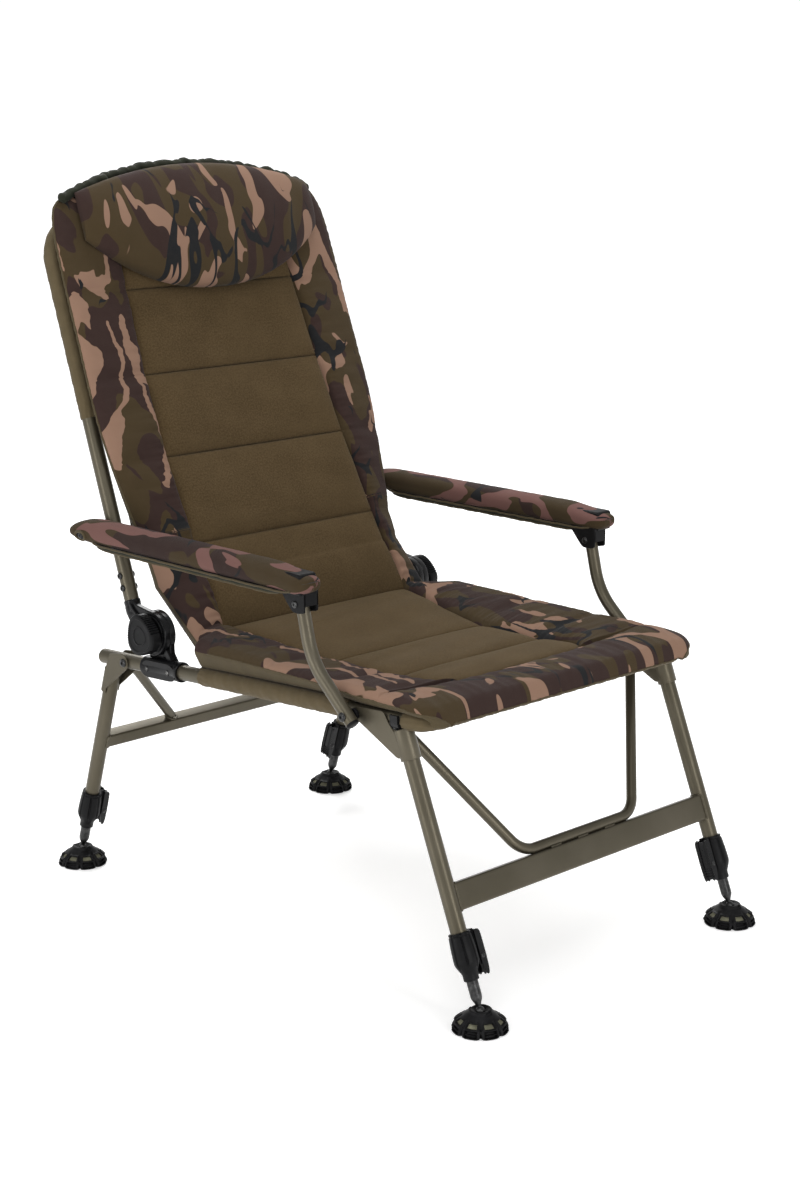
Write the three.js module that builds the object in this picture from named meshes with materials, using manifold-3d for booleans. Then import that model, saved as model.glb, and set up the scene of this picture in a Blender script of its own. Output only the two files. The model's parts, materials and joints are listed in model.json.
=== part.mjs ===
// Folding carp fishing chair with a reclining back, level armrests and four adjustable mud-foot legs.
// Millimetres, +Z up. The chair faces -Y, and left and right are those of the person sitting in it,
// so left is +X. The origin lies on the ground under the middle of the chair.

import * as THREE from 'three';
import { mergeVertices } from 'three/addons/utils/BufferGeometryUtils.js';
import Module from 'manifold-3d';

const wasm = await Module();
wasm.setup();

// Clearances
const seatGap = 0.3;
const pivotGap = 0.5;
const clothGap = 0.4;
const sheetGap = 0.9;
const openPivotGap = 0.8;
const cutOverrun = 20;
const weldSink = 1;

// Attitude of the chair in use, in degrees
const seatTilt = 3.3;
const backLean = 19.1;
const frontLegLean = 22.2;
const rearLegLean = 17.4;
const armUpperLean = 13.8;
const armLowerLean = 48.3;

// Main frame
const frameTube = 12;
const frameWall = 1.5;
const railOffset = 284;
const hingeHeight = 440;
const railDrop = 55;
const seatFrontReach = 598;
const seatRearReach = 138;
const seatCorner = 34;
const frontPivotSetback = 123;
const frontPivotReach = seatFrontReach - frontPivotSetback;
const rearPivotReach = 69;
const backTubeSet = 40;
const backTubeStart = 61;
const backTubeTop = 674;
const backCorner = 65;
const armPivotAlong = 171;

// Bolts
const pivotBolt = 4;
const frameBolt = 3;
const boltHead = 7;
const boltHeadHeight = 3;
const domeShare = 0.6;
const frameBoltHead = 5.5;
const frameBoltHeadHeight = 2.6;
const frameBoltPlaces = [20, 40];

// Recline hinge
const drumRadius = 36;
const drumWidth = 23;
const drumShift = 3;
const saddleWall = 4.2;
const saddleFront = 65;
const saddleRear = 25;
const webWidth = 44;
const socketPlug = 52;
const socketCollar = 13.4;
const socketCollarLength = 22;
const neckShare = 0.7;
const knobRadius = 35;
const knobWidth = 20;
const knobStandOff = 4;
const knobLobeDepth = 4.5;
const knobRecess = 2.5;
const knobRecessRadius = 15;
const knobBoss = 8;

// Armrests and their support tubes
const armTube = 10;
const armWall = 1.5;
const armTubeStandOff = 31;
const armTubeOffset = railOffset + armTubeStandOff;
const armBend = 110;
const armTubeTail = 14;
const armTubeTopTail = 9;
const armPlugHead = 3.5;
const armPlugShank = 10;
const armSpacerRadius = 8.5;
const clevisPin = 3.5;
const clevisHead = 5.5;
const clevisHeadHeight = 2;
const clevisEar = 3.6;
const clevisEarHalf = 12;
const armrestStandOff = 14.5;
const armrestInner = railOffset + armrestStandOff;
const armrestWidth = 48;
const armrestShell = 2.2;
const armrestEdge = 7;
const armrestRise = 28.5;
const armrestDepth = 39;
const armrestNose = 33.3;
const armrestCut = 24;
const armrestTopEnd = 18.7;
const armrestTail = 71.3;
const armrestTailRise = 1.5;
const armrestUnderEnd = 15.7;
const coreTipSetback = 13;
const armBoltDepth = 12;
const armShoulder = 8;

// Leg frames: the leg tube's distance from its pivot, the bracket and the cross members
const bracketPlate = 2.5;
const legSleeve = 15;
const frontLegSet = 72.5;
const frontSleeveTop = 40;
const frontSleeveEnd = 83;
const frontBarAboveBall = 161.1;
const frontBarHeight = 40;
const frontBarDepth = 20;
const barWall = 1.5;
const barCorner = 4;
const stayTube = 8;
const stayWall = 1.5;
const frontStayBend = 45;
const frontStayFoot = 123;
const frontStayTopDrop = 10.5;
const frontStayTopSet = 31;
const clipWall = 4;
const clipLength = 15;
const clipSetback = 44;
const clipStem = 16;
const clipRiseShare = 0.75;
const rearLegSet = 36.5;
const frontEarShares = [[0.069, 0.17], [-0.793, -0.095], [-0.855, -0.38], [-0.945, -0.552], [-1, -1.07],
  [-0.848, -1.07], [-0.039, -0.183], [0.181, -0.03]];
const rearEarShares = [[0.997, -0.025], [0.071, 0.408], [-0.255, 0.195], [-0.301, -0.134], [1.033, -2.016],
  [1.123, -2.016], [1.112, -0.751]];
const rearSleeveTop = 34;
const rearSleeveEnd = 74;
const rearTubeTop = 32;
const rearBarAboveBall = 213.5;
const rearBarHeight = 22;
const rearBarDepth = 24;
const rearStayFoot = 142;
const rearStayTopSet = 10;
const rearStayTopDrop = 16;
const stayPad = 26;

// Adjustable leg ends and mud feet, measured along the leg from the ball of the foot joint
const collarTop = 113;
const collarLength = 69;
const collarRadius = 17;
const collarFlare = 18;
const collarTaper = 24;
const collarChamfer = 2;
const nozzleLength = 6;
const nozzleRadius = 10.6;
const tubeEndAboveBall = 67;
const innerLegRadius = 8.35;
const innerLegBore = 6.5;
const innerLegTop = 205;
const innerLegShoulder = 20;
const innerLegFloor = 4;
const neckStart = 8;
const neckRadius = 3;
const ballRadius = 7;
const leverLength = 64;
const leverWidth = 22;
const leverThick = 9;
const leverChamfer = 2;
const leverFaceGap = 1.5;
const leverHeel = 3;
const leverRoom = 11;
const leverPivotDrop = 40;
const leverPin = 3;
const leverPivotOut = 23;
const lugHalf = 4.5;
const footRadius = 41;
const footScallop = 5;
const footPetals = 8;
const footRim = 8;
const footHub = 14.5;
const footHeight = 31;
const footBallHeight = 27;
const footShoulder = 34;
const footShoulderHeight = 15;
const footNotch = 5;
const footNotchDepth = 3;
const socketLipShare = 0.4;

// Sling under the mattress
const slingThick = 1.4;
const sleeveThick = 1.6;
const sleevePivotRoom = 25;
const seatSleeveFront = frontPivotReach - sleevePivotRoom;
const seatSleeveRear = 115;
const slingRearEdge = 60;
const slingInset = 22;
const slingHalf = railOffset - slingInset;
const slingSleeveSetback = 35;
const slingSleeveEnd = seatFrontReach - slingSleeveSetback;
const backSleeveStart = 357;
const backSlingStart = 130;

// Seat mattress: reaches are forward of the hinge axis, heights are above the rail axis
const padThick = 30;
const padOverRail = 13;
const seatPadHalf = railOffset + padOverRail;
const seatPadRear = 145;
const padOverFront = 26;
const seatPadFront = seatFrontReach + padOverFront;
const seatPadCorner = 62;
const seatLipDrop = 14;
const borderPuff = 9;
const channelPuff = 8;
const seamDip = 3;
const sideRoll = 6;
const foldCreaseReach = 67;
const seatShares = (rows) => rows.map(([reach, height, half]) => ({
  reach: foldCreaseReach + (seatPadFront - foldCreaseReach) * reach,
  height: padThick * height,
  half: seatPadHalf * half,
}));
const seatSeams = seatShares([[0, 1.9, 0.6734], [0.386, 0.8, 0.5589], [0.6248, 0.5667, 0.5522],
  [0.8079, 0.6333, 0.5488], [1, 0.6667, 0.5387]]);
const seatSideTops = seatShares([[0, 2, 1], [0.2513, 1.7667, 1], [0.4937, 1.2667, 1], [0.7253, 0.8333, 1],
  [1, 0.6, 1]]);
const seatSideBottoms = seatShares([[0, 0.9333, 1], [0.3734, 0.9, 1], [0.8546, 0.5333, 1], [1, 0.5, 1]]);
const columnShares = [0.28, 0.52, 0.86];
const panelShare = 0.5;
const sagShares = [0.35, 0.8, 1];

// Back mattress: places are along the back tube from the hinge, depths are in front of the tube axis
const backPadStart = 150;
const padOverCorner = 27;
const padOverTop = 83;
const backPadEdgeTop = backTubeTop + padOverCorner;
const backPadTop = backTubeTop + padOverTop;
const backShares = (rows) => rows.map(([place, depth, half]) => ({
  along: backPadEdgeTop * place,
  depth: padThick * depth,
  half: seatPadHalf * half,
}));
const backSeams = backShares([[0.1783, 2.5667, 0.6599], [0.3866, 1.8, 0.6465], [0.5835, 1.3333, 0.6263],
  [0.786, 1.1, 0.5993], [1, 1.0333, 0.5724]]);
const backWidths = backShares([[-0.0243, 1, 0.8418], [0.1512, 1, 0.8653], [0.4294, 1, 0.9764],
  [1, 1, 0.9697]]);
const backSideFronts = backShares([[0.1512, 1.9333, 1], [0.4294, 1.4667, 1], [0.6847, 1.2, 1], [1, 1, 1]]);
const backSideBack = 19;
const backTopThinShare = 0.85;
const backTopNarrowShare = 0.06;

// Mattress between seat and back
const foldUnderReach = 30;
const foldUnderHeight = 20;
const foldMidAlong = 54;
const foldMidDepth = 98;
const foldCreaseInset = 30;
const foldCreaseHalf = railOffset - foldCreaseInset;

// Head pillow
const pillowInset = 39;
const pillowHalf = railOffset - pillowInset;
const pillowUnderTube = 135;
const pillowCornerUnder = 23;
const pillowOverTube = 77;
const pillowCornerOver = 39;
const pillowBottom = backTubeTop - pillowUnderTube;
const pillowCornerBottom = backTubeTop - pillowCornerUnder;
const pillowTop = backTubeTop + pillowOverTube;
const pillowCornerTop = backTubeTop + pillowCornerOver;
const pillowFront = 90;
const pillowBack = (backSeams[3].depth + backSeams[4].depth) / 2 + channelPuff + clothGap;
const pillowEdge = 7;
const pillowFlatShare = 0.95;

// Numbers of flat sides and steps
const tubeSides = 12;
const boreSides = 8;
const boltSides = 8;
const bendSteps = 4;
const channelSteps = 3;
const backChannelSteps = 3;
const drumSides = 20;
const knobSteps = 36;
const pillowSteps = 14;
const pillowRows = 8;
const ballSteps = 4;
const rimSteps = 6;
const petalSteps = 2;
const socketSteps = 4;

// Colours
const paint = { color: 0x57513f, roughness: 0.45, metalness: 0.35 };
const blackPlastic = { color: 0x141414, roughness: 0.5, metalness: 0 };
const glossPlastic = { color: 0x0c0c0c, roughness: 0.25, metalness: 0 };
const steel = { color: 0x1d1c1b, roughness: 0.4, metalness: 0.8 };
const camoCloth = { color: 0x54452f, roughness: 0.9, metalness: 0 };
const fleece = { color: 0x6a5c42, roughness: 0.95, metalness: 0 };
const slingCloth = { color: 0x3d372a, roughness: 0.9, metalness: 0 };

const xAxis = new THREE.Vector3(1, 0, 0);
const yAxis = new THREE.Vector3(0, 1, 0);
const zAxis = new THREE.Vector3(0, 0, 1);
const turnToX = new THREE.Matrix4().makeBasis(yAxis, zAxis, xAxis);
const turnToY = new THREE.Matrix4().makeBasis(zAxis, xAxis, yAxis);
const upright = new THREE.Matrix4().makeRotationX(Math.PI / 2);
const radians = (degrees) => degrees * Math.PI / 180;
const roundAt = (radius, sides) => radius / Math.cos(Math.PI / sides);

// Merges a geometry's shared corners and makes a solid of it with its faces outwards.
function toSolid(geometry) {
  const bare = new THREE.BufferGeometry();
  bare.setAttribute('position', geometry.getAttribute('position').clone());
  bare.setIndex(geometry.getIndex());
  const merged = mergeVertices(bare);
  const corners = merged.getIndex().array;
  const kept = [];
  for (let i = 0; i < corners.length; i += 3) {
    const [a, b, c] = [corners[i], corners[i + 1], corners[i + 2]];
    if (a !== b && b !== c && c !== a) kept.push(a, b, c);
  }
  const vertProperties = new Float32Array(merged.getAttribute('position').array);
  const build = (order) => new wasm.Manifold(new wasm.Mesh({
    numProp: 3,
    vertProperties,
    triVerts: new Uint32Array(order),
  }));
  if (signedVolume(vertProperties, kept) > 0) return build(kept);
  return build(kept.reverse());
}

// Volume by summing the tetrahedra between the origin and each triangle.
function signedVolume(places, order) {
  let sum = 0;
  const [a, b, c] = [new THREE.Vector3(), new THREE.Vector3(), new THREE.Vector3()];
  for (let i = 0; i < order.length; i += 3) {
    a.fromArray(places, 3 * order[i]);
    b.fromArray(places, 3 * order[i + 1]);
    c.fromArray(places, 3 * order[i + 2]);
    sum += a.dot(b.cross(c)) / 6;
  }
  return sum;
}

function toGeometry(solid) {
  const mesh = solid.getMesh();
  const geometry = new THREE.BufferGeometry();
  geometry.setAttribute('position', new THREE.BufferAttribute(mesh.vertProperties, 3));
  geometry.setIndex(new THREE.BufferAttribute(mesh.triVerts, 1));
  return geometry;
}

// Joins shapes into one, and cuts other shapes out of it.
function shaped(joined, cuts = []) {
  let solid = toSolid(joined[0]);
  for (const shape of joined.slice(1)) solid = solid.add(toSolid(shape));
  for (const shape of cuts) solid = solid.subtract(toSolid(shape));
  return toGeometry(solid);
}

function mirrored(geometry) {
  return geometry.clone().applyMatrix4(new THREE.Matrix4().makeScale(-1, 1, 1));
}

// Turns a place in the Y-Z plane about the X axis.
function turned(y, z, degrees) {
  const angle = radians(degrees);
  return {
    y: y * Math.cos(angle) - z * Math.sin(angle),
    z: y * Math.sin(angle) + z * Math.cos(angle),
  };
}

function moved(geometry, x, y, z) {
  return geometry.translate(x, y, z);
}

// A block between two values on each axis.
function block([x0, x1], [y0, y1], [z0, z1]) {
  const box = new THREE.BoxGeometry(x1 - x0, y1 - y0, z1 - z0);
  return moved(box, (x0 + x1) / 2, (y0 + y1) / 2, (z0 + z1) / 2);
}

function circlePoints(radius, sides) {
  const points = [];
  for (let i = 0; i < sides; i += 1) {
    const angle = 2 * Math.PI * i / sides;
    points.push(new THREE.Vector2(radius * Math.cos(angle), radius * Math.sin(angle)));
  }
  return points;
}

// A flat outline in Y and Z, as thick as the two values on X say.
function plate(outline, [x0, x1]) {
  const shape = new THREE.Shape(outline.map(([y, z]) => new THREE.Vector2(y, z)));
  const geometry = new THREE.ExtrudeGeometry(shape, { depth: x1 - x0, bevelEnabled: false });
  geometry.applyMatrix4(turnToX);
  return moved(geometry, x0, 0, 0);
}

// A profile of [radius, place] pairs spun about the Z axis.
function spun(profile, sides) {
  const points = profile.map(([radius, place]) => new THREE.Vector2(radius, place));
  return new THREE.LatheGeometry(points, sides).applyMatrix4(upright);
}

// The same, about the X axis through a place in Y and Z.
function spunAcross(profile, sides, y, z) {
  return moved(spun(profile, sides).applyMatrix4(turnToX), 0, y, z);
}

function rod(radius, [x0, x1], y, z, sides = boltSides) {
  return spunAcross([[0, x0], [radius, x0], [radius, x1], [0, x1]], sides, y, z);
}

function post(radius, [z0, z1], x, y, sides = tubeSides) {
  return moved(spun([[0, z0], [radius, z0], [radius, z1], [0, z1]], sides), x, y, 0);
}

// A path of straight runs joined by round bends, with its stations where the shape needs them.
class BentRoute extends THREE.Curve {
  constructor(corners, bendRadius, steps) {
    super();
    this.stations = [];
    const last = corners.length - 1;
    const heading = (i) => corners[i + 1].clone().sub(corners[i]).normalize();
    this.stations.push({ point: corners[0], tangent: heading(0) });
    for (let i = 1; i < last; i += 1) {
      this.addBend(corners[i], heading(i - 1), heading(i), bendRadius, steps);
    }
    this.stations.push({ point: corners[last], tangent: heading(last - 1) });
  }

  addBend(corner, before, after, radius, steps) {
    const turn = before.angleTo(after);
    const start = corner.clone().addScaledVector(before, -radius * Math.tan(turn / 2));
    const inward = after.clone().addScaledVector(before, -Math.cos(turn)).normalize();
    for (let step = 0; step <= steps; step += 1) {
      const angle = turn * step / steps;
      const point = start.clone();
      point.addScaledVector(before, radius * Math.sin(angle));
      point.addScaledVector(inward, radius * (1 - Math.cos(angle)));
      const tangent = before.clone().multiplyScalar(Math.cos(angle));
      tangent.addScaledVector(inward, Math.sin(angle));
      this.stations.push({ point, tangent });
    }
  }

  get runs() {
    return this.stations.length - 1;
  }

  getPoint(share, target = new THREE.Vector3()) {
    return target.copy(this.stations[Math.round(share * this.runs)].point);
  }

  getPointAt(share, target = new THREE.Vector3()) {
    return this.getPoint(share, target);
  }

  getTangentAt(share, target = new THREE.Vector3()) {
    return target.copy(this.stations[Math.round(share * this.runs)].tangent);
  }
}

// A round tube along a path, hollow if its bore has a radius.
function tubeAlong(route, radius, bore = 0, sides = tubeSides) {
  const shape = new THREE.Shape(circlePoints(radius, sides));
  if (bore > 0) shape.holes.push(new THREE.Path(circlePoints(bore, boreSides)));
  return new THREE.ExtrudeGeometry(shape, { steps: route.runs, extrudePath: route });
}

// A soft form from sections that each have a lower and an upper row of points.
function padded(sections) {
  const places = [];
  const columns = sections[0].lower.length;
  const around = 2 * columns;
  for (const { lower, upper } of sections) {
    for (const point of lower) places.push(point.x, point.y, point.z);
    for (const point of [...upper].reverse()) places.push(point.x, point.y, point.z);
  }
  const order = [];
  const quad = (a, b, c, d) => order.push(a, b, c, a, c, d);
  for (let i = 0; i + 1 < sections.length; i += 1) {
    for (let j = 0; j < around; j += 1) {
      const next = (j + 1) % around;
      const corners = [i * around + j, i * around + next, (i + 1) * around + next, (i + 1) * around + j];
      if (j < columns) quad(...corners);
      else quad(...corners.slice(1), corners[0]);
    }
  }
  const endStart = (sections.length - 1) * around;
  for (let j = 0; j + 1 < columns; j += 1) {
    const facing = around - 1 - j;
    quad(j, facing, facing - 1, j + 1);
    quad(endStart + j, endStart + j + 1, endStart + facing - 1, endStart + facing);
  }
  const geometry = new THREE.BufferGeometry();
  geometry.setAttribute('position', new THREE.Float32BufferAttribute(places, 3));
  geometry.setIndex(order);
  return shaped([geometry]);
}

function node(name, finish, geometry) {
  geometry.computeVertexNormals();
  const mesh = new THREE.Mesh(geometry, new THREE.MeshStandardMaterial(finish));
  mesh.name = name;
  return mesh;
}

// Adds a left node and its mirror image on the right.
function addPair(group, name, finish, geometry) {
  group.add(node(`${name}_left`, finish, geometry));
  group.add(node(`${name}_right`, finish, shaped([mirrored(geometry)])));
}

// Straight lines between the entries of a table, by one of its columns.
function along(table, key, value, place) {
  const last = table.length - 1;
  for (let i = 0; i < last; i += 1) {
    const [a, b] = [table[i], table[i + 1]];
    if (place <= b[key] || i === last - 1) {
      const share = (place - a[key]) / (b[key] - a[key]);
      return a[value] + (b[value] - a[value]) * share;
    }
  }
  return table[last][value];
}

function eased(share) {
  const held = Math.min(Math.max(share, 0), 1);
  return held * held * (3 - 2 * held);
}

// How far a channel swells between the two seams that hold it, from 0 at a seam to 1.
function swell(table, key, place) {
  for (let i = 0; i + 1 < table.length; i += 1) {
    const [a, b] = [table[i][key], table[i + 1][key]];
    const rise = Math.sin(Math.PI * (place - a) / (b - a));
    if (place >= a && place <= b) return Math.sqrt(Math.max(rise, 0));
  }
  return 0;
}

// Places of the pivots in the world, from the hinge axis.
const sleeveRadius = frameTube + clothGap + sleeveThick;
const restLevel = sleeveRadius + clothGap;
const frontPivot = turned(-frontPivotReach, -railDrop, -seatTilt);
const rearPivot = turned(rearPivotReach, -railDrop, -seatTilt);
const armPivot = turned(backTubeSet, armPivotAlong, -backLean);

// Width of the cloth, the mattress and its seams at each reach of the seat.
function seatHalf(reach) {
  const nearHinge = eased((seatPadRear - reach) / (seatPadRear - foldCreaseReach));
  const nearFront = Math.max(reach - (seatPadFront - seatPadCorner), 0);
  const rounding = seatPadCorner - Math.sqrt(Math.max(seatPadCorner ** 2 - nearFront ** 2, 0));
  return seatPadHalf - rounding - nearHinge * (seatPadHalf - foldCreaseHalf);
}

// Columns across a mattress: the panel, its seam and the border out to the edge.
function columnsAcross(panel, half) {
  const right = [panel * panelShare, panel - seamDip, panel];
  for (const share of columnShares) right.push(panel + (half - panel) * share);
  right.push(half);
  return [...right.map((x) => -x).reverse(), 0, ...right];
}

// Underside of the mattress: sagging with the sling in the middle, and resting on the sleeves over the rails.
function seatUnder(x, reach) {
  const across = Math.abs(x);
  const panel = along(seatSeams, 'reach', 'half', reach);
  const border = seatHalf(reach) - panel;
  const borderStart = seatSeams[3].reach;
  const frontRise = Math.max((reach - borderStart) / (seatFrontReach - borderStart), 0);
  const sag = Math.min(along(seatSeams, 'reach', 'height', reach) - padThick, restLevel);
  const middle = sag + (restLevel - sag) * Math.min(frontRise, 1);
  const profile = [{ x: 0, height: middle }, { x: panel, height: middle }];
  for (const [index, share] of columnShares.entries()) {
    profile.push({ x: panel + border * share, height: middle + (restLevel - middle) * sagShares[index] });
  }
  profile.push({ x: panel + border, height: along(seatSideBottoms, 'reach', 'height', reach) });
  return along(profile, 'x', 'height', across);
}

// Upper side of the seat mattress: swelling channels in the panel and a raised border.
function seatUpper(x, reach, half) {
  const across = Math.abs(x);
  const panel = along(seatSeams, 'reach', 'half', reach);
  const seam = along(seatSeams, 'reach', 'height', reach);
  const side = along(seatSideTops, 'reach', 'height', reach);
  const puff = channelPuff * swell(seatSeams, 'reach', reach);
  if (across < panel) return seam + puff * (1 - (across / panel) ** 4);
  const share = Math.min((across - panel) / (half - panel), 1);
  return seam - seamDip + (side + seamDip - seam) * share + borderPuff * Math.sin(Math.PI * Math.sqrt(share));
}

const seatPoint = (x, reach, height) => new THREE.Vector3(x, -reach, height - railDrop);
const backPoint = (x, place, depth) => new THREE.Vector3(x, backTubeSet - depth, place);

function seatSection(reach, under = seatUnder) {
  const half = seatHalf(reach);
  const across = columnsAcross(along(seatSeams, 'reach', 'half', reach), half);
  const edge = (x) => (Math.abs(x) > half - seatGap ? sideRoll : 0);
  return {
    lower: across.map((x) => seatPoint(x, reach, under(x, reach))),
    upper: across.map((x) => seatPoint(x, reach, seatUpper(x, reach, half) - edge(x))),
  };
}

// Reaches of the sections that the mattress and the sling share.
function seatStations() {
  const stations = [];
  for (let i = 0; i + 2 < seatSeams.length; i += 1) {
    const [a, b] = [seatSeams[i].reach, seatSeams[i + 1].reach];
    for (let step = 1; step <= channelSteps; step += 1) stations.push(a + (b - a) * step / channelSteps);
  }
  const tubeBack = seatFrontReach - sleeveRadius;
  return [...stations, (seatSeams[3].reach + tubeBack) / 2, tubeBack, seatFrontReach];
}

function seatCushion() {
  const stations = seatStations().filter((reach) => reach > seatPadRear + channelPuff);
  const sections = [seatPadRear, ...stations].map((reach) => seatSection(reach));
  const lipReach = seatFrontReach + restLevel;
  sections.push(seatSection(lipReach, () => restLevel));
  sections.push(seatSection(lipReach + seatGap, () => -seatLipDrop));
  sections.push(seatSection((lipReach + seatPadFront) / 2, () => -seatLipDrop));
  sections.push(seatSection(seatPadFront - seatGap, () => 0));
  return padded(sections);
}

// Half width of the sling's sheet: out to the rails between its sleeves, and clear of brackets elsewhere.
function slingHalfAt(reach) {
  const inner = frameTube + clothGap;
  if (reach > seatFrontReach - sleeveRadius - seatGap) return railOffset - seatCorner - inner;
  if (reach > seatSleeveRear && reach < seatSleeveFront) return railOffset;
  return slingHalf;
}

// The sling's sheet follows the underside of the mattress and joins the sleeves round the rails.
function seatSling() {
  const sheetSection = (reach) => {
    const half = slingHalfAt(reach);
    const panel = along(seatSeams, 'reach', 'half', reach);
    const inner = columnsAcross(panel, seatHalf(reach)).slice(2, -2);
    const across = [-half, ...inner, half];
    const overTube = reach > seatFrontReach - sleeveRadius - seatGap;
    const below = overTube ? (clothGap + sheetGap) / 2 : sheetGap;
    const top = (x) => Math.min(seatUnder(x, reach), restLevel) - below;
    return {
      lower: across.map((x) => seatPoint(x, reach, top(x) - slingThick)),
      upper: across.map((x) => seatPoint(x, reach, top(x))),
    };
  };
  const turns = [slingRearEdge, seatSleeveRear, seatSleeveRear + sleeveThick, seatSleeveFront - sleeveThick,
    seatSleeveFront];
  const shared = seatStations().filter((reach) => reach > slingRearEdge + seamDip);
  const stations = [...turns, ...shared].sort((a, b) => a - b);
  const parts = [padded(stations.map(sheetSection))];
  const bore = roundAt(frameTube + clothGap, boreSides);
  for (const side of [-1, 1]) {
    const rail = new BentRoute([
      new THREE.Vector3(side * railOffset, -seatSleeveFront, -railDrop),
      new THREE.Vector3(side * railOffset, -seatSleeveRear, -railDrop),
    ], seatCorner, bendSteps);
    parts.push(tubeAlong(rail, sleeveRadius, bore));
  }
  const front = new BentRoute([
    new THREE.Vector3(-railOffset, -slingSleeveEnd, -railDrop),
    new THREE.Vector3(-railOffset, -seatFrontReach, -railDrop),
    new THREE.Vector3(railOffset, -seatFrontReach, -railDrop),
    new THREE.Vector3(railOffset, -slingSleeveEnd, -railDrop),
  ], seatCorner, bendSteps);
  parts.push(tubeAlong(front, sleeveRadius, bore));
  return shaped(parts);
}

function seatFrame() {
  const route = new BentRoute([
    new THREE.Vector3(-railOffset, seatRearReach, -railDrop),
    new THREE.Vector3(-railOffset, -seatFrontReach, -railDrop),
    new THREE.Vector3(railOffset, -seatFrontReach, -railDrop),
    new THREE.Vector3(railOffset, seatRearReach, -railDrop),
  ], seatCorner, bendSteps);
  const parts = [tubeAlong(route, frameTube, frameTube - frameWall)];
  const cuts = [];
  for (const side of [-1, 1]) {
    const capRadius = frameTube - frameWall / 2;
    const cap = spun([
      [0, -frameWall],
      [capRadius, -frameWall],
      [capRadius, 0],
      [capRadius * Math.SQRT1_2, capRadius / 2],
      [0, capRadius * Math.SQRT1_2],
    ], tubeSides);
    parts.push(moved(cap.applyMatrix4(turnToY), side * railOffset, seatRearReach, -railDrop));
    const wide = [side * railOffset - frameTube - cutOverrun, side * railOffset + frameTube + cutOverrun];
    for (const y of [rearPivotReach, -frontPivotReach]) {
      cuts.push(rod(roundAt(pivotBolt + seatGap, boltSides), wide, y, -railDrop));
    }
  }
  return shaped(parts, cuts);
}

// Bolt along X with a domed head at each end, given by the faces that the heads clamp.
function bolt(radius, head, height, [x0, x1], y, z) {
  const profile = [
    [0, x0 - height],
    [head * domeShare, x0 - height],
    [head, x0 - height / 2],
    [head, x0],
    [radius, x0],
    [radius, x1],
    [head, x1],
    [head, x1 + height / 2],
    [head * domeShare, x1 + height],
    [0, x1 + height],
  ];
  return spunAcross(profile, boltSides, y, z);
}

const bracketInner = railOffset - frameTube - pivotGap - bracketPlate;
const bracketOuter = railOffset + frameTube + pivotGap + bracketPlate;
const drumInner = railOffset - drumWidth / 2 - drumShift + seatGap;
const drumOuter = drumInner + drumWidth;
const drumSplit = (drumInner + drumOuter) / 2;

// A round block round the axis of the left rail, between two places on Y.
function rodAlongRail(radius, [y0, y1]) {
  const shape = spun([[0, y0], [radius, y0], [radius, y1], [0, y1]], tubeSides).applyMatrix4(turnToY);
  return moved(shape, railOffset, 0, -railDrop);
}

// Lower half of the recline hinge: a sleeve on the rail, a web and half of the drum.
function hingeSaddle() {
  const outer = frameTube + saddleWall;
  const sleeve = rodAlongRail(outer, [-saddleFront, saddleRear]);
  const drum = rod(drumRadius, [drumInner, drumSplit - seatGap], 0, 0, drumSides);
  const webSpan = [-webWidth / 2 - saddleWall, webWidth / 2];
  const web = block([drumInner, drumSplit - seatGap], webSpan, [-railDrop, 0]);
  const bore = roundAt(frameTube + seatGap, tubeSides);
  const railCut = rodAlongRail(bore, [-saddleFront - cutOverrun, saddleRear + cutOverrun]);
  const boltCut = rod(roundAt(pivotBolt + seatGap, boltSides), [drumInner - cutOverrun, drumOuter], 0, 0);
  return shaped([sleeve, drum, web], [railCut, boltCut]);
}

// Upper half: the other half of the drum, a neck and a plug inside the back tube.
function hingeSocket() {
  const drum = rod(drumRadius, [drumSplit, drumOuter], 0, 0, drumSides);
  const collarFrom = backTubeStart - socketCollarLength;
  const neck = plate([
    [0, 0],
    [drumRadius * 0.9, -drumRadius * 0.2],
    [backTubeSet + socketCollar * neckShare, collarFrom - seatGap],
    [backTubeSet + socketCollar * neckShare, backTubeStart - 2 * seatGap],
    [backTubeSet - socketCollar, backTubeStart - 2 * seatGap],
    [0, drumRadius * 0.95],
  ], [drumSplit, drumOuter]);
  const collar = post(socketCollar, [collarFrom, backTubeStart - seatGap], railOffset, backTubeSet);
  const plugRadius = (frameTube - frameWall) * Math.cos(Math.PI / boreSides) - seatGap;
  const plug = post(plugRadius, [collarFrom, backTubeStart + socketPlug], railOffset, backTubeSet);
  const through = [drumInner - cutOverrun, drumOuter + cutOverrun];
  const cuts = [rod(roundAt(pivotBolt + seatGap, boltSides), through, 0, 0)];
  const wide = [railOffset - frameTube - cutOverrun, railOffset + frameTube + cutOverrun];
  for (const place of frameBoltPlaces) {
    cuts.push(rod(roundAt(frameBolt + seatGap, boltSides), wide, backTubeSet, backTubeStart + place));
  }
  return shaped([drum, neck, collar, plug], cuts);
}

// Tri-lobed clamp knob with its moulded-in screw.
function clampKnob() {
  const face = drumOuter + knobStandOff;
  const outline = [];
  for (let i = 0; i < knobSteps; i += 1) {
    const angle = 2 * Math.PI * i / knobSteps;
    const radius = knobRadius - knobLobeDepth * (1 - Math.cos(3 * angle)) / 2;
    outline.push([radius * Math.sin(angle), radius * Math.cos(angle)]);
  }
  const body = plate(outline, [face, face + knobWidth]);
  const boss = rod(knobBoss, [drumOuter + seatGap, face + weldSink], 0, 0, tubeSides);
  const screw = rod(pivotBolt, [drumInner, face + weldSink], 0, 0);
  const sunk = [face + knobWidth - knobRecess, face + knobWidth + cutOverrun];
  const recess = rod(knobRecessRadius, sunk, 0, 0, drumSides);
  return shaped([body, boss, screw], [recess]);
}

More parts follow.
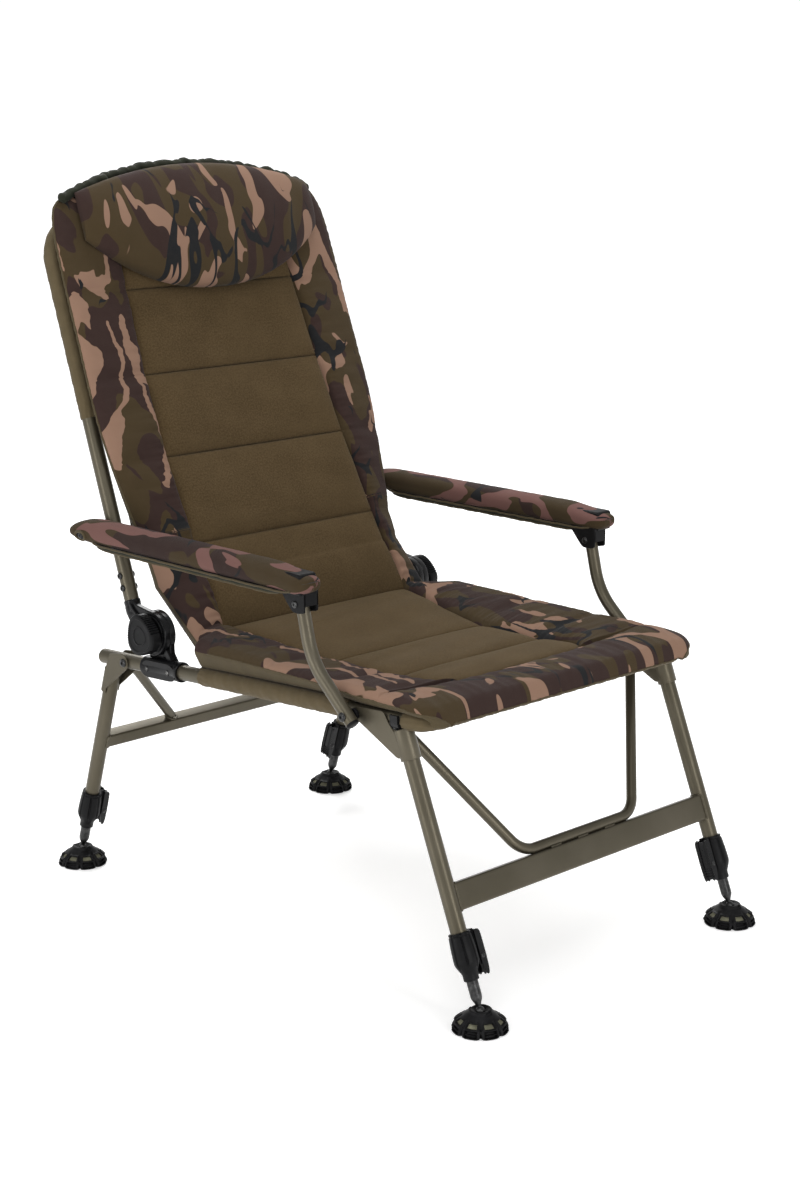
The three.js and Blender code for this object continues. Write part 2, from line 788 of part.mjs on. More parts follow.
function backFrame() {
  const route = new BentRoute([
    new THREE.Vector3(-railOffset, backTubeSet, backTubeStart),
    new THREE.Vector3(-railOffset, backTubeSet, backTubeTop),
    new THREE.Vector3(railOffset, backTubeSet, backTubeTop),
    new THREE.Vector3(railOffset, backTubeSet, backTubeStart),
  ], backCorner, bendSteps);
  const cuts = [];
  for (const side of [-1, 1]) {
    const wide = [side * railOffset - frameTube - cutOverrun, side * railOffset + frameTube + cutOverrun];
    cuts.push(rod(roundAt(pivotBolt + seatGap, boltSides), wide, backTubeSet, armPivotAlong));
    for (const place of frameBoltPlaces) {
      cuts.push(rod(roundAt(frameBolt + seatGap, boltSides), wide, backTubeSet, backTubeStart + place));
    }
  }
  return shaped([tubeAlong(route, frameTube, frameTube - frameWall)], cuts);
}

// Sling of the back: a sheet in front of the tubes and sleeves round the upper part of the frame.
function backSling() {
  const level = sleeveRadius;
  const sheetSection = (place, half) => {
    const across = columnsAcross(half / 2, half);
    return {
      lower: across.map((x) => backPoint(x, place, level - slingThick)),
      upper: across.map((x) => backPoint(x, place, level)),
    };
  };
  const sheet = padded([
    sheetSection(backSlingStart, slingHalf),
    sheetSection(backSleeveStart - sleeveThick, slingHalf),
    sheetSection(backSleeveStart, railOffset),
    sheetSection(backTubeTop - backCorner, railOffset),
    sheetSection(backTubeTop, railOffset - backCorner),
  ]);
  const sleeve = new BentRoute([
    new THREE.Vector3(-railOffset, backTubeSet, backSleeveStart),
    new THREE.Vector3(-railOffset, backTubeSet, backTubeTop),
    new THREE.Vector3(railOffset, backTubeSet, backTubeTop),
    new THREE.Vector3(railOffset, backTubeSet, backSleeveStart),
  ], backCorner, bendSteps);
  return shaped([sheet, tubeAlong(sleeve, sleeveRadius, roundAt(frameTube + clothGap, boreSides))]);
}

function backUpper(x, place, half) {
  const across = Math.abs(x);
  const panel = along(backSeams, 'along', 'half', place);
  const seam = along(backSeams, 'along', 'depth', place);
  const side = along(backSideFronts, 'along', 'depth', place);
  const puff = channelPuff * swell(backSeams, 'along', place);
  if (across < panel) return seam + puff * (1 - (across / panel) ** 4);
  const share = Math.min((across - panel) / (half - panel), 1);
  return seam - seamDip + (side + seamDip - seam) * share + borderPuff * Math.sin(Math.PI * Math.sqrt(share));
}

function backUnder(x) {
  const across = Math.abs(x);
  const roll = Math.max(across - railOffset, 0) / (seatPadHalf - railOffset);
  return restLevel + (backSideBack - restLevel) * roll;
}

function backSection(place, half) {
  const across = columnsAcross(along(backSeams, 'along', 'half', place), half);
  const edge = (x) => (Math.abs(x) > half - seatGap ? sideRoll : 0);
  return {
    lower: across.map((x) => backPoint(x, place, backUnder(x))),
    upper: across.map((x) => backPoint(x, place, backUpper(x, place, half) - edge(x))),
  };
}

// The back mattress rises to a rounded top edge above the cross tube.
function backCushion() {
  const sections = [];
  const stations = [backPadStart];
  for (let i = 0; i + 2 < backSeams.length; i += 1) {
    const [a, b] = [backSeams[i].along, backSeams[i + 1].along];
    for (let step = 1; step <= backChannelSteps; step += 1) {
      const place = a + (b - a) * step / backChannelSteps;
      if (place > backPadStart + channelPuff) stations.push(place);
    }
  }
  for (const place of stations) sections.push(backSection(place, along(backWidths, 'along', 'half', place)));
  for (let step = 1; step <= rimSteps; step += 1) sections.push(backTopSection(step / rimSteps));
  return padded(sections);
}

// Near the top the sections arch upwards towards the middle of the back.
function backTopSection(share) {
  const from = backSeams[3].along;
  const half = along(backWidths, 'along', 'half', backPadEdgeTop) * (1 - backTopNarrowShare * share ** 6);
  const across = columnsAcross(backSeams[4].half, half);
  const topAt = (x) => backPadEdgeTop + (backPadTop - backPadEdgeTop) * (1 - (x / half) ** 2);
  const arch = (x) => from + (topAt(x) - from) * share;
  const thin = Math.sqrt(1 - backTopThinShare * share ** 4);
  const middle = (backSideBack + backSideFronts[3].depth) / 2;
  const slimmed = (depth) => middle + (depth - middle) * thin;
  const front = (x) => backUpper(x, Math.min(from + (backPadEdgeTop - from) * share, backPadEdgeTop), half);
  return {
    lower: across.map((x) => backPoint(x, arch(x), slimmed(backUnder(x)))),
    upper: across.map((x) => backPoint(x, arch(x), slimmed(front(x)))),
  };
}

// The stretch of mattress that bends between seat and back, in the seat's frame.
function hipFold() {
  const lean = backLean - seatTilt;
  const fromBack = (point) => {
    const place = turned(point.y, point.z, -lean);
    return new THREE.Vector3(point.x, place.y, place.z);
  };
  const sections = [seatSection(seatPadRear - seatGap), seatSection((seatPadRear + foldCreaseReach) / 2)];
  for (const point of sections.flatMap((section) => section.lower)) {
    point.z = Math.max(point.z, restLevel - railDrop);
  }
  const creaseAcross = columnsAcross(seatSeams[0].half, foldCreaseHalf);
  sections.push({
    lower: creaseAcross.map((x) => seatPoint(x, foldUnderReach, foldUnderHeight)),
    upper: creaseAcross.map((x) => seatPoint(x, foldCreaseReach, seatSeams[0].height)),
  });
  sections.push({
    lower: creaseAcross.map((x) => fromBack(backPoint(x, foldMidAlong, restLevel))),
    upper: creaseAcross.map((x) => fromBack(backPoint(x, foldMidAlong, foldMidDepth))),
  });
  for (const high of [backSeams[0].along, backPadStart - seatGap]) {
    const section = backSection(high, along(backWidths, 'along', 'half', high));
    sections.push({ lower: section.lower.map(fromBack), upper: section.upper.map(fromBack) });
  }
  return padded(sections);
}

// Crescent pillow: sections across the back, each a rounded lens.
function headPillow() {
  const sections = [];
  for (let i = 0; i <= pillowSteps; i += 1) {
    const share = -1 + 2 * i / pillowSteps;
    const x = pillowHalf * Math.sin(share * Math.PI / 2);
    const bow = (x / pillowHalf) ** 2;
    const bottom = pillowBottom + (pillowCornerBottom - pillowBottom) * bow;
    const top = pillowTop + (pillowCornerTop - pillowTop) * bow;
    const fullness = Math.sqrt(1 - bow * pillowFlatShare);
    const lower = [];
    const upper = [];
    for (let j = 0; j <= pillowRows; j += 1) {
      const round = 1 - Math.cos(Math.PI * j / pillowRows);
      const place = bottom + (top - bottom) * round / 2;
      const bulge = Math.sin(Math.PI * j / pillowRows) ** 0.7;
      const depth = pillowBack + pillowEdge + (pillowFront - pillowBack - pillowEdge) * bulge * fullness;
      lower.push(backPoint(x, place, pillowBack));
      upper.push(backPoint(x, place, depth));
    }
    sections.push({ lower, upper });
  }
  return padded(sections);
}

// Support tube of an armrest, from the clevis down to the seat rail, with its lower pivot at the origin.
function armSupport() {
  const upper = [Math.sin(radians(armUpperLean)), Math.cos(radians(armUpperLean))];
  const lower = [Math.sin(radians(armLowerLean)), Math.cos(radians(armLowerLean))];
  const turn = upper[1] * lower[0] - upper[0] * lower[1];
  const rise = (upper[1] * armPivot.y - upper[0] * armPivot.z) / turn;
  const at = (y, z) => new THREE.Vector3(armTubeOffset, y, z);
  const route = new BentRoute([
    at(armPivot.y + upper[0] * armTubeTopTail, armPivot.z + upper[1] * armTubeTopTail),
    at(lower[0] * rise, lower[1] * rise),
    at(-lower[0] * armTubeTail, -lower[1] * armTubeTail),
  ], armBend, bendSteps);
  const wide = [armTubeOffset - armTube - cutOverrun, armTubeOffset + armTube + cutOverrun];
  const tube = tubeAlong(route, armTube, armTube - armWall);
  return shaped([tube], [
    rod(roundAt(clevisPin + openPivotGap, boltSides), wide, armPivot.y, armPivot.z),
    rod(roundAt(pivotBolt + seatGap, boltSides), wide, 0, 0),
  ]);
}

function armTubePlug() {
  const shank = (armTube - armWall) * Math.cos(Math.PI / boreSides) - seatGap;
  const plug = spun([
    [0, armPlugShank],
    [shank, armPlugShank],
    [shank, -seatGap],
    [armTube, -seatGap],
    [armTube, -armPlugHead / 2],
    [armTube * domeShare, -armPlugHead],
    [0, -armPlugHead],
  ], tubeSides);
  plug.rotateX(-radians(armLowerLean));
  const end = turned(0, -armTubeTail, -armLowerLean);
  const wide = [armTubeOffset - cutOverrun, armTubeOffset + cutOverrun];
  const pivot = rod(roundAt(pivotBolt + seatGap, boltSides), wide, 0, 0);
  return shaped([moved(plug, armTubeOffset, end.y, end.z)], [pivot]);
}

const coreInner = armrestInner + armrestShell + seatGap;
const coreOuter = armrestInner + armrestWidth - armrestShell - seatGap;
const armrestUnder = armrestRise - armrestDepth;
const earInner = [coreInner, armTubeOffset - armTube - pivotGap];
const earOuter = [armTubeOffset + armTube + pivotGap, armTubeOffset + armTube + pivotGap + clevisEar];

// From an armrest's rear pivot to its clevis, the same vector as from the hinge to the front pivot.
const clevisPlace = frontPivot;

// Side view of an armrest, drawn in by a wall and with its open lower end given by the caller.
function armrestOutline(inset, rearEnd) {
  const front = clevisPlace.y - armrestNose + inset;
  const top = armrestRise - inset;
  const bottom = armrestUnder + inset;
  return [
    [front, bottom + armrestEdge],
    [front, top - armrestEdge],
    [front + armrestEdge, top],
    [-armrestTopEnd, top],
    ...rearEnd,
    [-armrestUnderEnd, bottom],
    [front + armrestEdge, bottom],
  ];
}

// Outer corner cut back at the front end of an armrest.
function frontCornerCut(margin) {
  const outer = armrestInner + armrestWidth + margin;
  const front = clevisPlace.y - armrestNose - margin;
  const shape = new THREE.Shape([
    new THREE.Vector2(outer - armrestCut - margin, front),
    new THREE.Vector2(outer + cutOverrun, front),
    new THREE.Vector2(outer + cutOverrun, front + armrestCut + margin),
    new THREE.Vector2(outer, front + armrestCut + margin),
  ]);
  const depth = armrestDepth + 2 * cutOverrun;
  const cut = new THREE.ExtrudeGeometry(shape, { depth, bevelEnabled: false });
  return moved(cut, 0, 0, armrestUnder - cutOverrun);
}

function armrestCover() {
  const wide = [armrestInner, armrestInner + armrestWidth];
  const body = plate(armrestOutline(0, [[armrestTail, armrestTailRise]]), wide);
  const slope = (armrestRise - armrestTailRise) / (armrestTail + armrestTopEnd);
  const openEnd = [
    [armrestTail, armrestTailRise - armrestShell],
    [armrestTail + cutOverrun, armrestTailRise - armrestShell - slope * cutOverrun],
    [armrestTail + cutOverrun, armrestUnder - cutOverrun],
    [-armrestUnderEnd, armrestUnder - cutOverrun],
  ];
  const inside = [armrestInner + armrestShell, wide[1] - armrestShell];
  const cavity = plate(armrestOutline(armrestShell, openEnd), inside);
  const slot = block([coreInner - seatGap, earOuter[1] + seatGap],
    [clevisPlace.y - clevisEarHalf - seatGap, clevisPlace.y + clevisEarHalf + seatGap],
    [armrestUnder - cutOverrun, armrestUnder + armrestShell + seatGap]);
  const shoulder = roundAt(armShoulder + seatGap, boltSides);
  const boltCut = rod(shoulder, [armrestInner - cutOverrun, coreInner], 0, 0);
  return shaped([body], [cavity, slot, boltCut, frontCornerCut(0)]);
}

function armrestCore() {
  const tip = [[armrestTail - coreTipSetback, armrestTailRise]];
  const body = plate(armrestOutline(armrestShell + seatGap, tip), [coreInner, coreOuter]);
  const parts = [body];
  const earTop = armrestUnder + armrestShell + clevisEar;
  const earSpan = [clevisPlace.y - clevisEarHalf, clevisPlace.y + clevisEarHalf];
  for (const wide of [earInner, earOuter]) {
    parts.push(plate([
      [earSpan[0], earTop],
      [clevisPlace.y - clevisHead, clevisPlace.z - clevisHead],
      [clevisPlace.y + clevisHead, clevisPlace.z - clevisHead],
      [earSpan[1], earTop],
    ], wide));
  }
  const pinSpan = [coreInner - cutOverrun, coreOuter];
  const pinCut = rod(roundAt(clevisPin + seatGap, boltSides), pinSpan, clevisPlace.y, clevisPlace.z);
  const boltSpan = [coreInner - cutOverrun, coreInner + armBoltDepth + seatGap];
  const boltCut = rod(roundAt(pivotBolt + seatGap, boltSides), boltSpan, 0, 0);
  return shaped(parts, [pinCut, boltCut, frontCornerCut(armrestShell + seatGap)]);
}

// Bolt of an armrest's rear pivot: head inside the back tube's line, shoulder, and end in the core.
function armrestBolt() {
  const faces = [railOffset - frameTube - seatGap, railOffset + frameTube + seatGap];
  const profile = [
    [0, faces[0] - boltHeadHeight],
    [boltHead * domeShare, faces[0] - boltHeadHeight],
    [boltHead, faces[0] - boltHeadHeight / 2],
    [boltHead, faces[0]],
    [pivotBolt, faces[0]],
    [pivotBolt, faces[1]],
    [armShoulder, faces[1]],
    [armShoulder, coreInner - seatGap],
    [pivotBolt, coreInner - seatGap],
    [pivotBolt, coreInner + armBoltDepth],
    [0, coreInner + armBoltDepth],
  ];
  return spunAcross(profile, boltSides, backTubeSet, armPivotAlong);
}

// Height along a leg at which its ball stands at the right height above the ground.
function legDrop(pivotHeight, set, lean) {
  const angle = radians(lean);
  return (pivotHeight + set * Math.sin(angle) - footBallHeight) / Math.cos(angle);
}

const frontBallDrop = legDrop(hingeHeight + frontPivot.z, -frontLegSet, -frontLegLean);
const rearBallDrop = legDrop(hingeHeight + rearPivot.z, rearLegSet, rearLegLean);
const frontBarDrop = frontBallDrop - frontBarAboveBall;
const rearBarDrop = rearBallDrop - rearBarAboveBall;

// Bore for a leg's pivot bolt, through both ears of its bracket.
function pivotBore() {
  const wide = [bracketInner - cutOverrun, bracketOuter + cutOverrun];
  return rod(roundAt(pivotBolt + seatGap, boltSides), wide, 0, 0);
}

// Folded sheet bracket: two ears beside the rail and, for the front leg, a sleeve round the leg's top.
function frontLeg() {
  const ears = [];
  const outline = frontEarShares.map(([y, z]) => [y * frontLegSet, z * frontLegSet]);
  for (const inner of [bracketInner, bracketOuter - bracketPlate]) {
    ears.push(plate(outline, [inner, inner + bracketPlate]));
  }
  const sleeve = post(legSleeve, [-frontSleeveEnd, -frontSleeveTop + bracketPlate], railOffset, -frontLegSet);
  const tubeTop = -frontSleeveTop;
  const tubeEnd = -frontBallDrop + tubeEndAboveBall;
  const tube = post(frameTube, [tubeEnd, tubeTop], railOffset, -frontLegSet);
  const boreSpan = [tubeEnd - cutOverrun, tubeTop + cutOverrun];
  const bore = post(frameTube - frameWall, boreSpan, railOffset, -frontLegSet, boreSides);
  const railLean = frontLegLean - seatTilt;
  const cope = block([railOffset - legSleeve - cutOverrun, railOffset + legSleeve + cutOverrun],
    [-frontLegSet - 3 * cutOverrun, cutOverrun], [-frameTube - clipWall - 2 * seatGap, 3 * cutOverrun]);
  cope.rotateX(radians(railLean));
  const leg = shaped([sleeve, tube], [bore, cope]);
  return shaped([leg, ...ears], [pivotBore()]);
}

// Rear leg: the bracket is folded round the back of the leg and open towards the front.
function rearLeg() {
  const outline = rearEarShares.map(([y, z]) => [y * rearLegSet, z * rearLegSet]);
  const ears = [];
  for (const inner of [bracketInner, bracketOuter - bracketPlate]) {
    ears.push(plate(outline, [inner, inner + bracketPlate]));
  }
  const sleeve = post(legSleeve, [-rearSleeveEnd, -rearSleeveTop], railOffset, rearLegSet);
  const open = block([railOffset - legSleeve - cutOverrun, railOffset + legSleeve + cutOverrun],
    [rearLegSet - legSleeve - cutOverrun, rearLegSet - bracketPlate],
    [-rearSleeveEnd - cutOverrun, cutOverrun]);
  const half = shaped([sleeve], [open]);
  const tubeEnd = -rearBallDrop + tubeEndAboveBall;
  const tube = post(frameTube, [tubeEnd, -rearTubeTop], railOffset, rearLegSet);
  const boreSpan = [tubeEnd - cutOverrun, cutOverrun];
  const bore = post(frameTube - frameWall, boreSpan, railOffset, rearLegSet, boreSides);
  return shaped([half, tube, ...ears], [bore, pivotBore()]);
}

// Hollow cross member between two legs, its ends cut round the leg tubes.
function crossBar(set, drop, height, depth) {
  const wide = [-railOffset, railOffset];
  const outer = roundedBar(height, depth, barCorner, wide);
  const inner = roundedBar(height - 2 * barWall, depth - 2 * barWall, barCorner - barWall,
    [wide[0] - cutOverrun, wide[1] + cutOverrun]);
  moved(outer, 0, set, -drop);
  moved(inner, 0, set, -drop);
  const reach = height + cutOverrun;
  const round = roundAt(frameTube + seatGap, tubeSides);
  const cuts = [inner];
  for (const side of [-1, 1]) {
    cuts.push(post(round, [-drop - reach, -drop + reach], side * railOffset, set));
    const beyond = [railOffset, railOffset + cutOverrun];
    const span = side > 0 ? beyond : [-beyond[1], -beyond[0]];
    cuts.push(block(span, [set - depth, set + depth], [-drop - reach, -drop + reach]));
  }
  return shaped([outer], cuts);
}

function roundedBar(height, depth, corner, wide) {
  const points = [];
  for (const [y, z, start] of [[1, 1, 0], [-1, 1, 1], [-1, -1, 2], [1, -1, 3]]) {
    for (let step = 0; step <= 2; step += 1) {
      const angle = (start + step / 2) * Math.PI / 2;
      points.push([y * (depth / 2 - corner) + corner * Math.cos(angle),
        z * (height / 2 - corner) + corner * Math.sin(angle)]);
    }
  }
  return plate(points, wide);
}

// A stay's end is cut off flat beside the bracket's inner ear.
function earCuts() {
  const face = bracketInner - seatGap;
  const far = railOffset + 3 * cutOverrun;
  const deep = [-3 * cutOverrun, 3 * cutOverrun];
  return [block([face, far], deep, deep), block([-far, -face], deep, deep)];
}

function frontCrossbar() {
  const bar = crossBar(-frontLegSet, frontBarDrop, frontBarHeight, frontBarDepth);
  const low = -frontBarDrop + frontBarHeight / 2 + stayTube - weldSink / 2;
  const top = (side) => {
    const foot = new THREE.Vector3(side * frontStayFoot, -frontLegSet, low);
    const head = new THREE.Vector3(side * bracketInner, -frontStayTopSet, -frontStayTopDrop);
    return [foot, head.clone().addScaledVector(head.clone().sub(foot).normalize(), stayTube)];
  };
  const [leftFoot, leftHead] = top(1);
  const [rightFoot, rightHead] = top(-1);
  const route = new BentRoute([leftHead, leftFoot, rightFoot, rightHead], frontStayBend, bendSteps);
  const stay = shaped([tubeAlong(route, stayTube, stayTube - stayWall)], earCuts());
  return shaped([bar, stay]);
}

function rearCrossbar() {
  const parts = [crossBar(rearLegSet, rearBarDrop, rearBarHeight, rearBarDepth)];
  const barTop = -rearBarDrop + rearBarHeight / 2;
  for (const side of [-1, 1]) {
    const foot = new THREE.Vector3(side * rearStayFoot, rearLegSet, barTop + stayTube / 2);
    const head = new THREE.Vector3(side * bracketInner, rearStayTopSet, -rearStayTopDrop);
    head.addScaledVector(head.clone().sub(foot).normalize(), stayTube);
    const route = new BentRoute([head, foot], frontStayBend, bendSteps);
    parts.push(shaped([tubeAlong(route, stayTube, stayTube - stayWall)], earCuts()));
    const pad = [side * rearStayFoot - stayPad / 2, side * rearStayFoot + stayPad / 2];
    const padSpan = [rearLegSet - stayTube, rearLegSet + stayTube];
    parts.push(block(pad, padSpan, [barTop - weldSink / 2, barTop + stayTube / 2]));
  }
  return shaped(parts);
}

// Moulded saddle on top of the front leg that the rail rests in.
function legSaddleClip() {
  const inner = roundAt(frameTube + seatGap, tubeSides);
  const outer = frameTube + clipWall;
  const reach = clipSetback - frontPivotSetback;
  const span = [reach - clipLength / 2, reach + clipLength / 2];
  const round = (radius, [y0, y1]) => {
    const profile = [[0, y0], [radius, y0], [radius, y1], [0, y1]];
    return spun(profile, tubeSides).applyMatrix4(turnToY);
  };
  const body = round(outer, span);
  const walls = block([-outer, outer], span, [0, frameTube * clipRiseShare]);
  const past = [span[0] - cutOverrun, span[1] + cutOverrun];
  const hollow = round(inner, past);
  const open = block([-inner, inner], past, [0, outer + cutOverrun]);
  const clip = shaped([body, walls], [hollow, open]);
  clip.rotateX(radians(frontLegLean - seatTilt));
  moved(clip, railOffset, 0, 0);
  const stem = (frameTube - frameWall) * Math.cos(Math.PI / boreSides) - seatGap;
  const stemTop = -frontSleeveTop + clipStem / 2;
  const plug = post(stem, [stemTop - clipStem - cutOverrun, stemTop], railOffset, -frontLegSet);
  const railCut = round(inner + clipWall / 2, [reach - 3 * cutOverrun, 0]);
  railCut.rotateX(radians(frontLegLean - seatTilt));
  return shaped([clip, plug], [moved(railCut, railOffset, 0, 0)]);
}

// Clamp collar of a leg end, with the lug that carries its lever.
function legCollar() {
  const bottom = collarTop - collarLength;
  const body = spun([
    [0, bottom],
    [nozzleRadius - collarChamfer, bottom],
    [nozzleRadius, bottom + collarChamfer],
    [nozzleRadius, bottom + nozzleLength],
    [collarFlare, bottom + collarTaper],
    [collarRadius, collarTop - collarChamfer],
    [collarRadius - collarChamfer, collarTop],
    [0, collarTop],
  ], tubeSides);
  const pivotZ = collarTop - leverPivotDrop;
  const lug = rounded(lugHalf, leverPivotOut);
  moved(lug, 0, 0, pivotZ);
  const legSpan = [tubeEndAboveBall - seatGap, collarTop + cutOverrun];
  const legBore = post(roundAt(frameTube + seatGap, tubeSides), legSpan, 0, 0);
  const innerSpan = [bottom - cutOverrun, collarTop];
  const innerBore = post(roundAt(innerLegRadius + seatGap, tubeSides), innerSpan, 0, 0);
  const hole = roundAt(leverPin + seatGap, boltSides);
  const pin = spun([[0, -cutOverrun], [hole, -cutOverrun], [hole, cutOverrun], [0, cutOverrun]], boltSides);
  pin.applyMatrix4(turnToY);
  return shaped([body, lug], [legBore, innerBore, moved(pin, -leverPivotOut, 0, pivotZ)]);
}

// A lug reaching out along -X with a round end, as thick as it is high.
function rounded(half, reach) {
  const end = spun([[0, -half], [half, -half], [half, half], [0, half]], boltSides);
  end.applyMatrix4(turnToY);
  return shaped([block([-reach, 0], [-half, half], [-half, half]), moved(end, -reach, 0, 0)]);
}

// Lever: a shell on the inner side of the collar with a fork and pin that pass through the lug.
function legLever() {
  const pivotZ = collarTop - leverPivotDrop;
  const top = collarTop - leverChamfer;
  const bottom = top - leverLength;
  const face = collarFlare + leverFaceGap;
  const back = face + leverThick;
  const outline = [
    [face, top - leverChamfer],
    [face + leverChamfer, top],
    [back - leverChamfer / 2, top - leverChamfer],
    [back, pivotZ],
    [back - leverChamfer / 2, bottom + leverChamfer],
    [back - leverChamfer, bottom],
    [face + leverHeel, bottom],
    [face, pivotZ - 2 * lugHalf],
  ];
  const shape = new THREE.Shape(outline.map(([x, z]) => new THREE.Vector2(-x, z)));
  const grip = new THREE.ExtrudeGeometry(shape, { depth: leverWidth, bevelEnabled: false });
  grip.applyMatrix4(upright);
  moved(grip, 0, leverWidth / 2, 0);
  const room = block([-leverPivotOut - lugHalf - pivotGap, 0], [-lugHalf - pivotGap, lugHalf + pivotGap],
    [pivotZ - leverRoom, pivotZ + leverRoom]);
  const ends = [-leverWidth / 2 - seatGap, leverWidth / 2 + seatGap];
  const pin = spun([[0, ends[0]], [leverPin, ends[0]], [leverPin, ends[1]], [0, ends[1]]], boltSides);
  pin.applyMatrix4(turnToY);
  return shaped([shaped([grip], [room]), moved(pin, -leverPivotOut, 0, pivotZ)]);
}

// Inner leg: a tube that slides in the leg, closed by a neck and a ball.
function innerLeg() {
  const profile = [[0, -ballRadius]];
  const neckAngle = Math.asin(neckRadius / ballRadius);
  for (let i = 1; i <= ballSteps; i += 1) {
    const angle = (Math.PI - neckAngle) * i / ballSteps;
    profile.push([ballRadius * Math.sin(angle), -ballRadius * Math.cos(angle)]);
  }
  const floor = innerLegShoulder + innerLegFloor;
  profile.push(
    [neckRadius, neckStart],
    [innerLegRadius, innerLegShoulder],
    [innerLegRadius, innerLegTop],
    [innerLegBore, innerLegTop],
    [innerLegBore, floor],
    [0, floor],
  );
  return spun(profile, boltSides);
}

// A closed form from rings of points, with a fan at each end up or down to a height on the Z axis.
function ringed(rings, endHeights) {
  const places = [];
  const around = rings[0].length;
  for (const ring of rings) {
    for (const point of ring) places.push(point.x, point.y, point.z);
  }
  const order = [];
  for (let i = 0; i + 1 < rings.length; i += 1) {
    for (let j = 0; j < around; j += 1) {
      const next = (j + 1) % around;
      const [a, b] = [i * around + j, i * around + next];
      order.push(a, b, b + around, a, b + around, a + around);
    }
  }
  for (const [index, height] of endHeights.entries()) {
    const first = index * (rings.length - 1) * around;
    const middle = places.length / 3;
    places.push(0, 0, height);
    for (let j = 0; j < around; j += 1) {
      const pair = [first + j, first + (j + 1) % around];
      if (first === 0) pair.reverse();
      order.push(middle, ...pair);
    }
  }
  const geometry = new THREE.BufferGeometry();
  geometry.setAttribute('position', new THREE.Float32BufferAttribute(places, 3));
  geometry.setIndex(order);
  return geometry;
}

// Mud foot: a dome with scalloped petals and a notched hub whose socket holds the ball.
function mudFoot() {
  const sides = footPetals * petalSteps;
  const ring = (radius, height, dip) => {
    const points = [];
    for (let i = 0; i < sides; i += 1) {
      const angle = 2 * Math.PI * i / sides;
      const valley = i % petalSteps === 0 ? dip : 0;
      const out = radius - valley;
      points.push(new THREE.Vector3(out * Math.cos(angle), out * Math.sin(angle), height - footBallHeight));
    }
    return points;
  };
  const rings = [
    ring(footRadius - footRim / 4, 0, footScallop),
    ring(footRadius, footRim / 2, footScallop),
    ring(footRadius - footRim / 4, footRim, footScallop),
    ring(footShoulder, footShoulderHeight, footScallop / 2),
    ring(footHub + footRim / 2, footHeight - footRim / 2, 0),
    ring(footHub, footHeight, 0),
  ];
  const room = roundAt(ballRadius + seatGap, sides);
  const lipAngle = Math.acos(socketLipShare);
  const lipRadius = room * Math.sin(lipAngle);
  const lipHeight = footBallHeight + room * socketLipShare;
  rings.push(ring(lipRadius + footHeight - lipHeight, footHeight, 0), ring(lipRadius, lipHeight, 0));
  for (let step = 1; step < socketSteps; step += 1) {
    const angle = lipAngle + (Math.PI - lipAngle) * step / socketSteps;
    rings.push(ring(room * Math.sin(angle), footBallHeight + room * Math.cos(angle), 0));
  }
  const notch = block([-footNotch / 2, footNotch / 2], [ballRadius, 2 * footHub],
    [footHeight - footBallHeight - footNotchDepth, footHeight]);
  return shaped([ringed(rings, [-footBallHeight, -room])], [notch]);
}

const chair = new THREE.Group();
const seat = new THREE.Group();
seat.position.set(0, 0, hingeHeight);
seat.rotation.x = -radians(seatTilt);
seat.add(node('seat_frame', paint, seatFrame()));
seat.add(node('seat_sling', slingCloth, seatSling()));
seat.add(node('seat_cushion', camoCloth, seatCushion()));
seat.add(node('hip_cushion', fleece, hipFold()));
addPair(seat, 'hinge_saddle', blackPlastic, hingeSaddle());
const pivotFaces = [bracketInner - seatGap, bracketOuter + seatGap];
const rearBolt = bolt(pivotBolt, boltHead, boltHeadHeight, pivotFaces, rearPivotReach, -railDrop);
addPair(seat, 'rear_pivot_bolt', steel, rearBolt);
const armFaces = [bracketInner - seatGap, armTubeOffset + armTube + seatGap];
const frontBolt = bolt(pivotBolt, boltHead, boltHeadHeight, armFaces, -frontPivotReach, -railDrop);
addPair(seat, 'front_pivot_bolt', steel, frontBolt);
const spacerFaces = [bracketOuter + seatGap, armTubeOffset - armTube - seatGap];
const spacerBody = rod(armSpacerRadius, spacerFaces, -frontPivotReach, -railDrop, tubeSides);
const spacerRadius = roundAt(pivotBolt + seatGap, boltSides);
const spacerBore = rod(spacerRadius, [0, armTubeOffset], -frontPivotReach, -railDrop);
addPair(seat, 'arm_spacer', blackPlastic, shaped([spacerBody], [spacerBore]));
chair.add(seat);

const back = new THREE.Group();
back.position.set(0, 0, hingeHeight);
back.rotation.x = -radians(backLean);
back.add(node('back_frame', paint, backFrame()));
back.add(node('back_sling', slingCloth, backSling()));
back.add(node('back_cushion', camoCloth, backCushion()));
back.add(node('head_pillow', camoCloth, headPillow()));
addPair(back, 'hinge_socket', blackPlastic, hingeSocket());
addPair(back, 'hinge_knob', blackPlastic, clampKnob());
addPair(back, 'armrest_pivot_bolt', steel, armrestBolt());
const tubeFaces = [railOffset - frameTube - seatGap, railOffset + frameTube + seatGap];
for (const [index, place] of frameBoltPlaces.entries()) {
  const name = ['lower_back_bolt', 'upper_back_bolt'][index];
  const height = backTubeStart + place;
  const through = bolt(frameBolt, frameBoltHead, frameBoltHeadHeight, tubeFaces, backTubeSet, height);
  addPair(back, name, steel, through);
}
chair.add(back);

const armrests = new THREE.Group();
armrests.position.set(0, armPivot.y, hingeHeight + armPivot.z);
addPair(armrests, 'armrest_core', blackPlastic, armrestCore());
addPair(armrests, 'armrest_cover', camoCloth, armrestCover());
const clevisFaces = [coreInner - seatGap, earOuter[1] + seatGap];
const clevisShape = bolt(clevisPin, clevisHead, clevisHeadHeight, clevisFaces, clevisPlace.y, clevisPlace.z);
addPair(armrests, 'clevis_pin', steel, clevisShape);
chair.add(armrests);

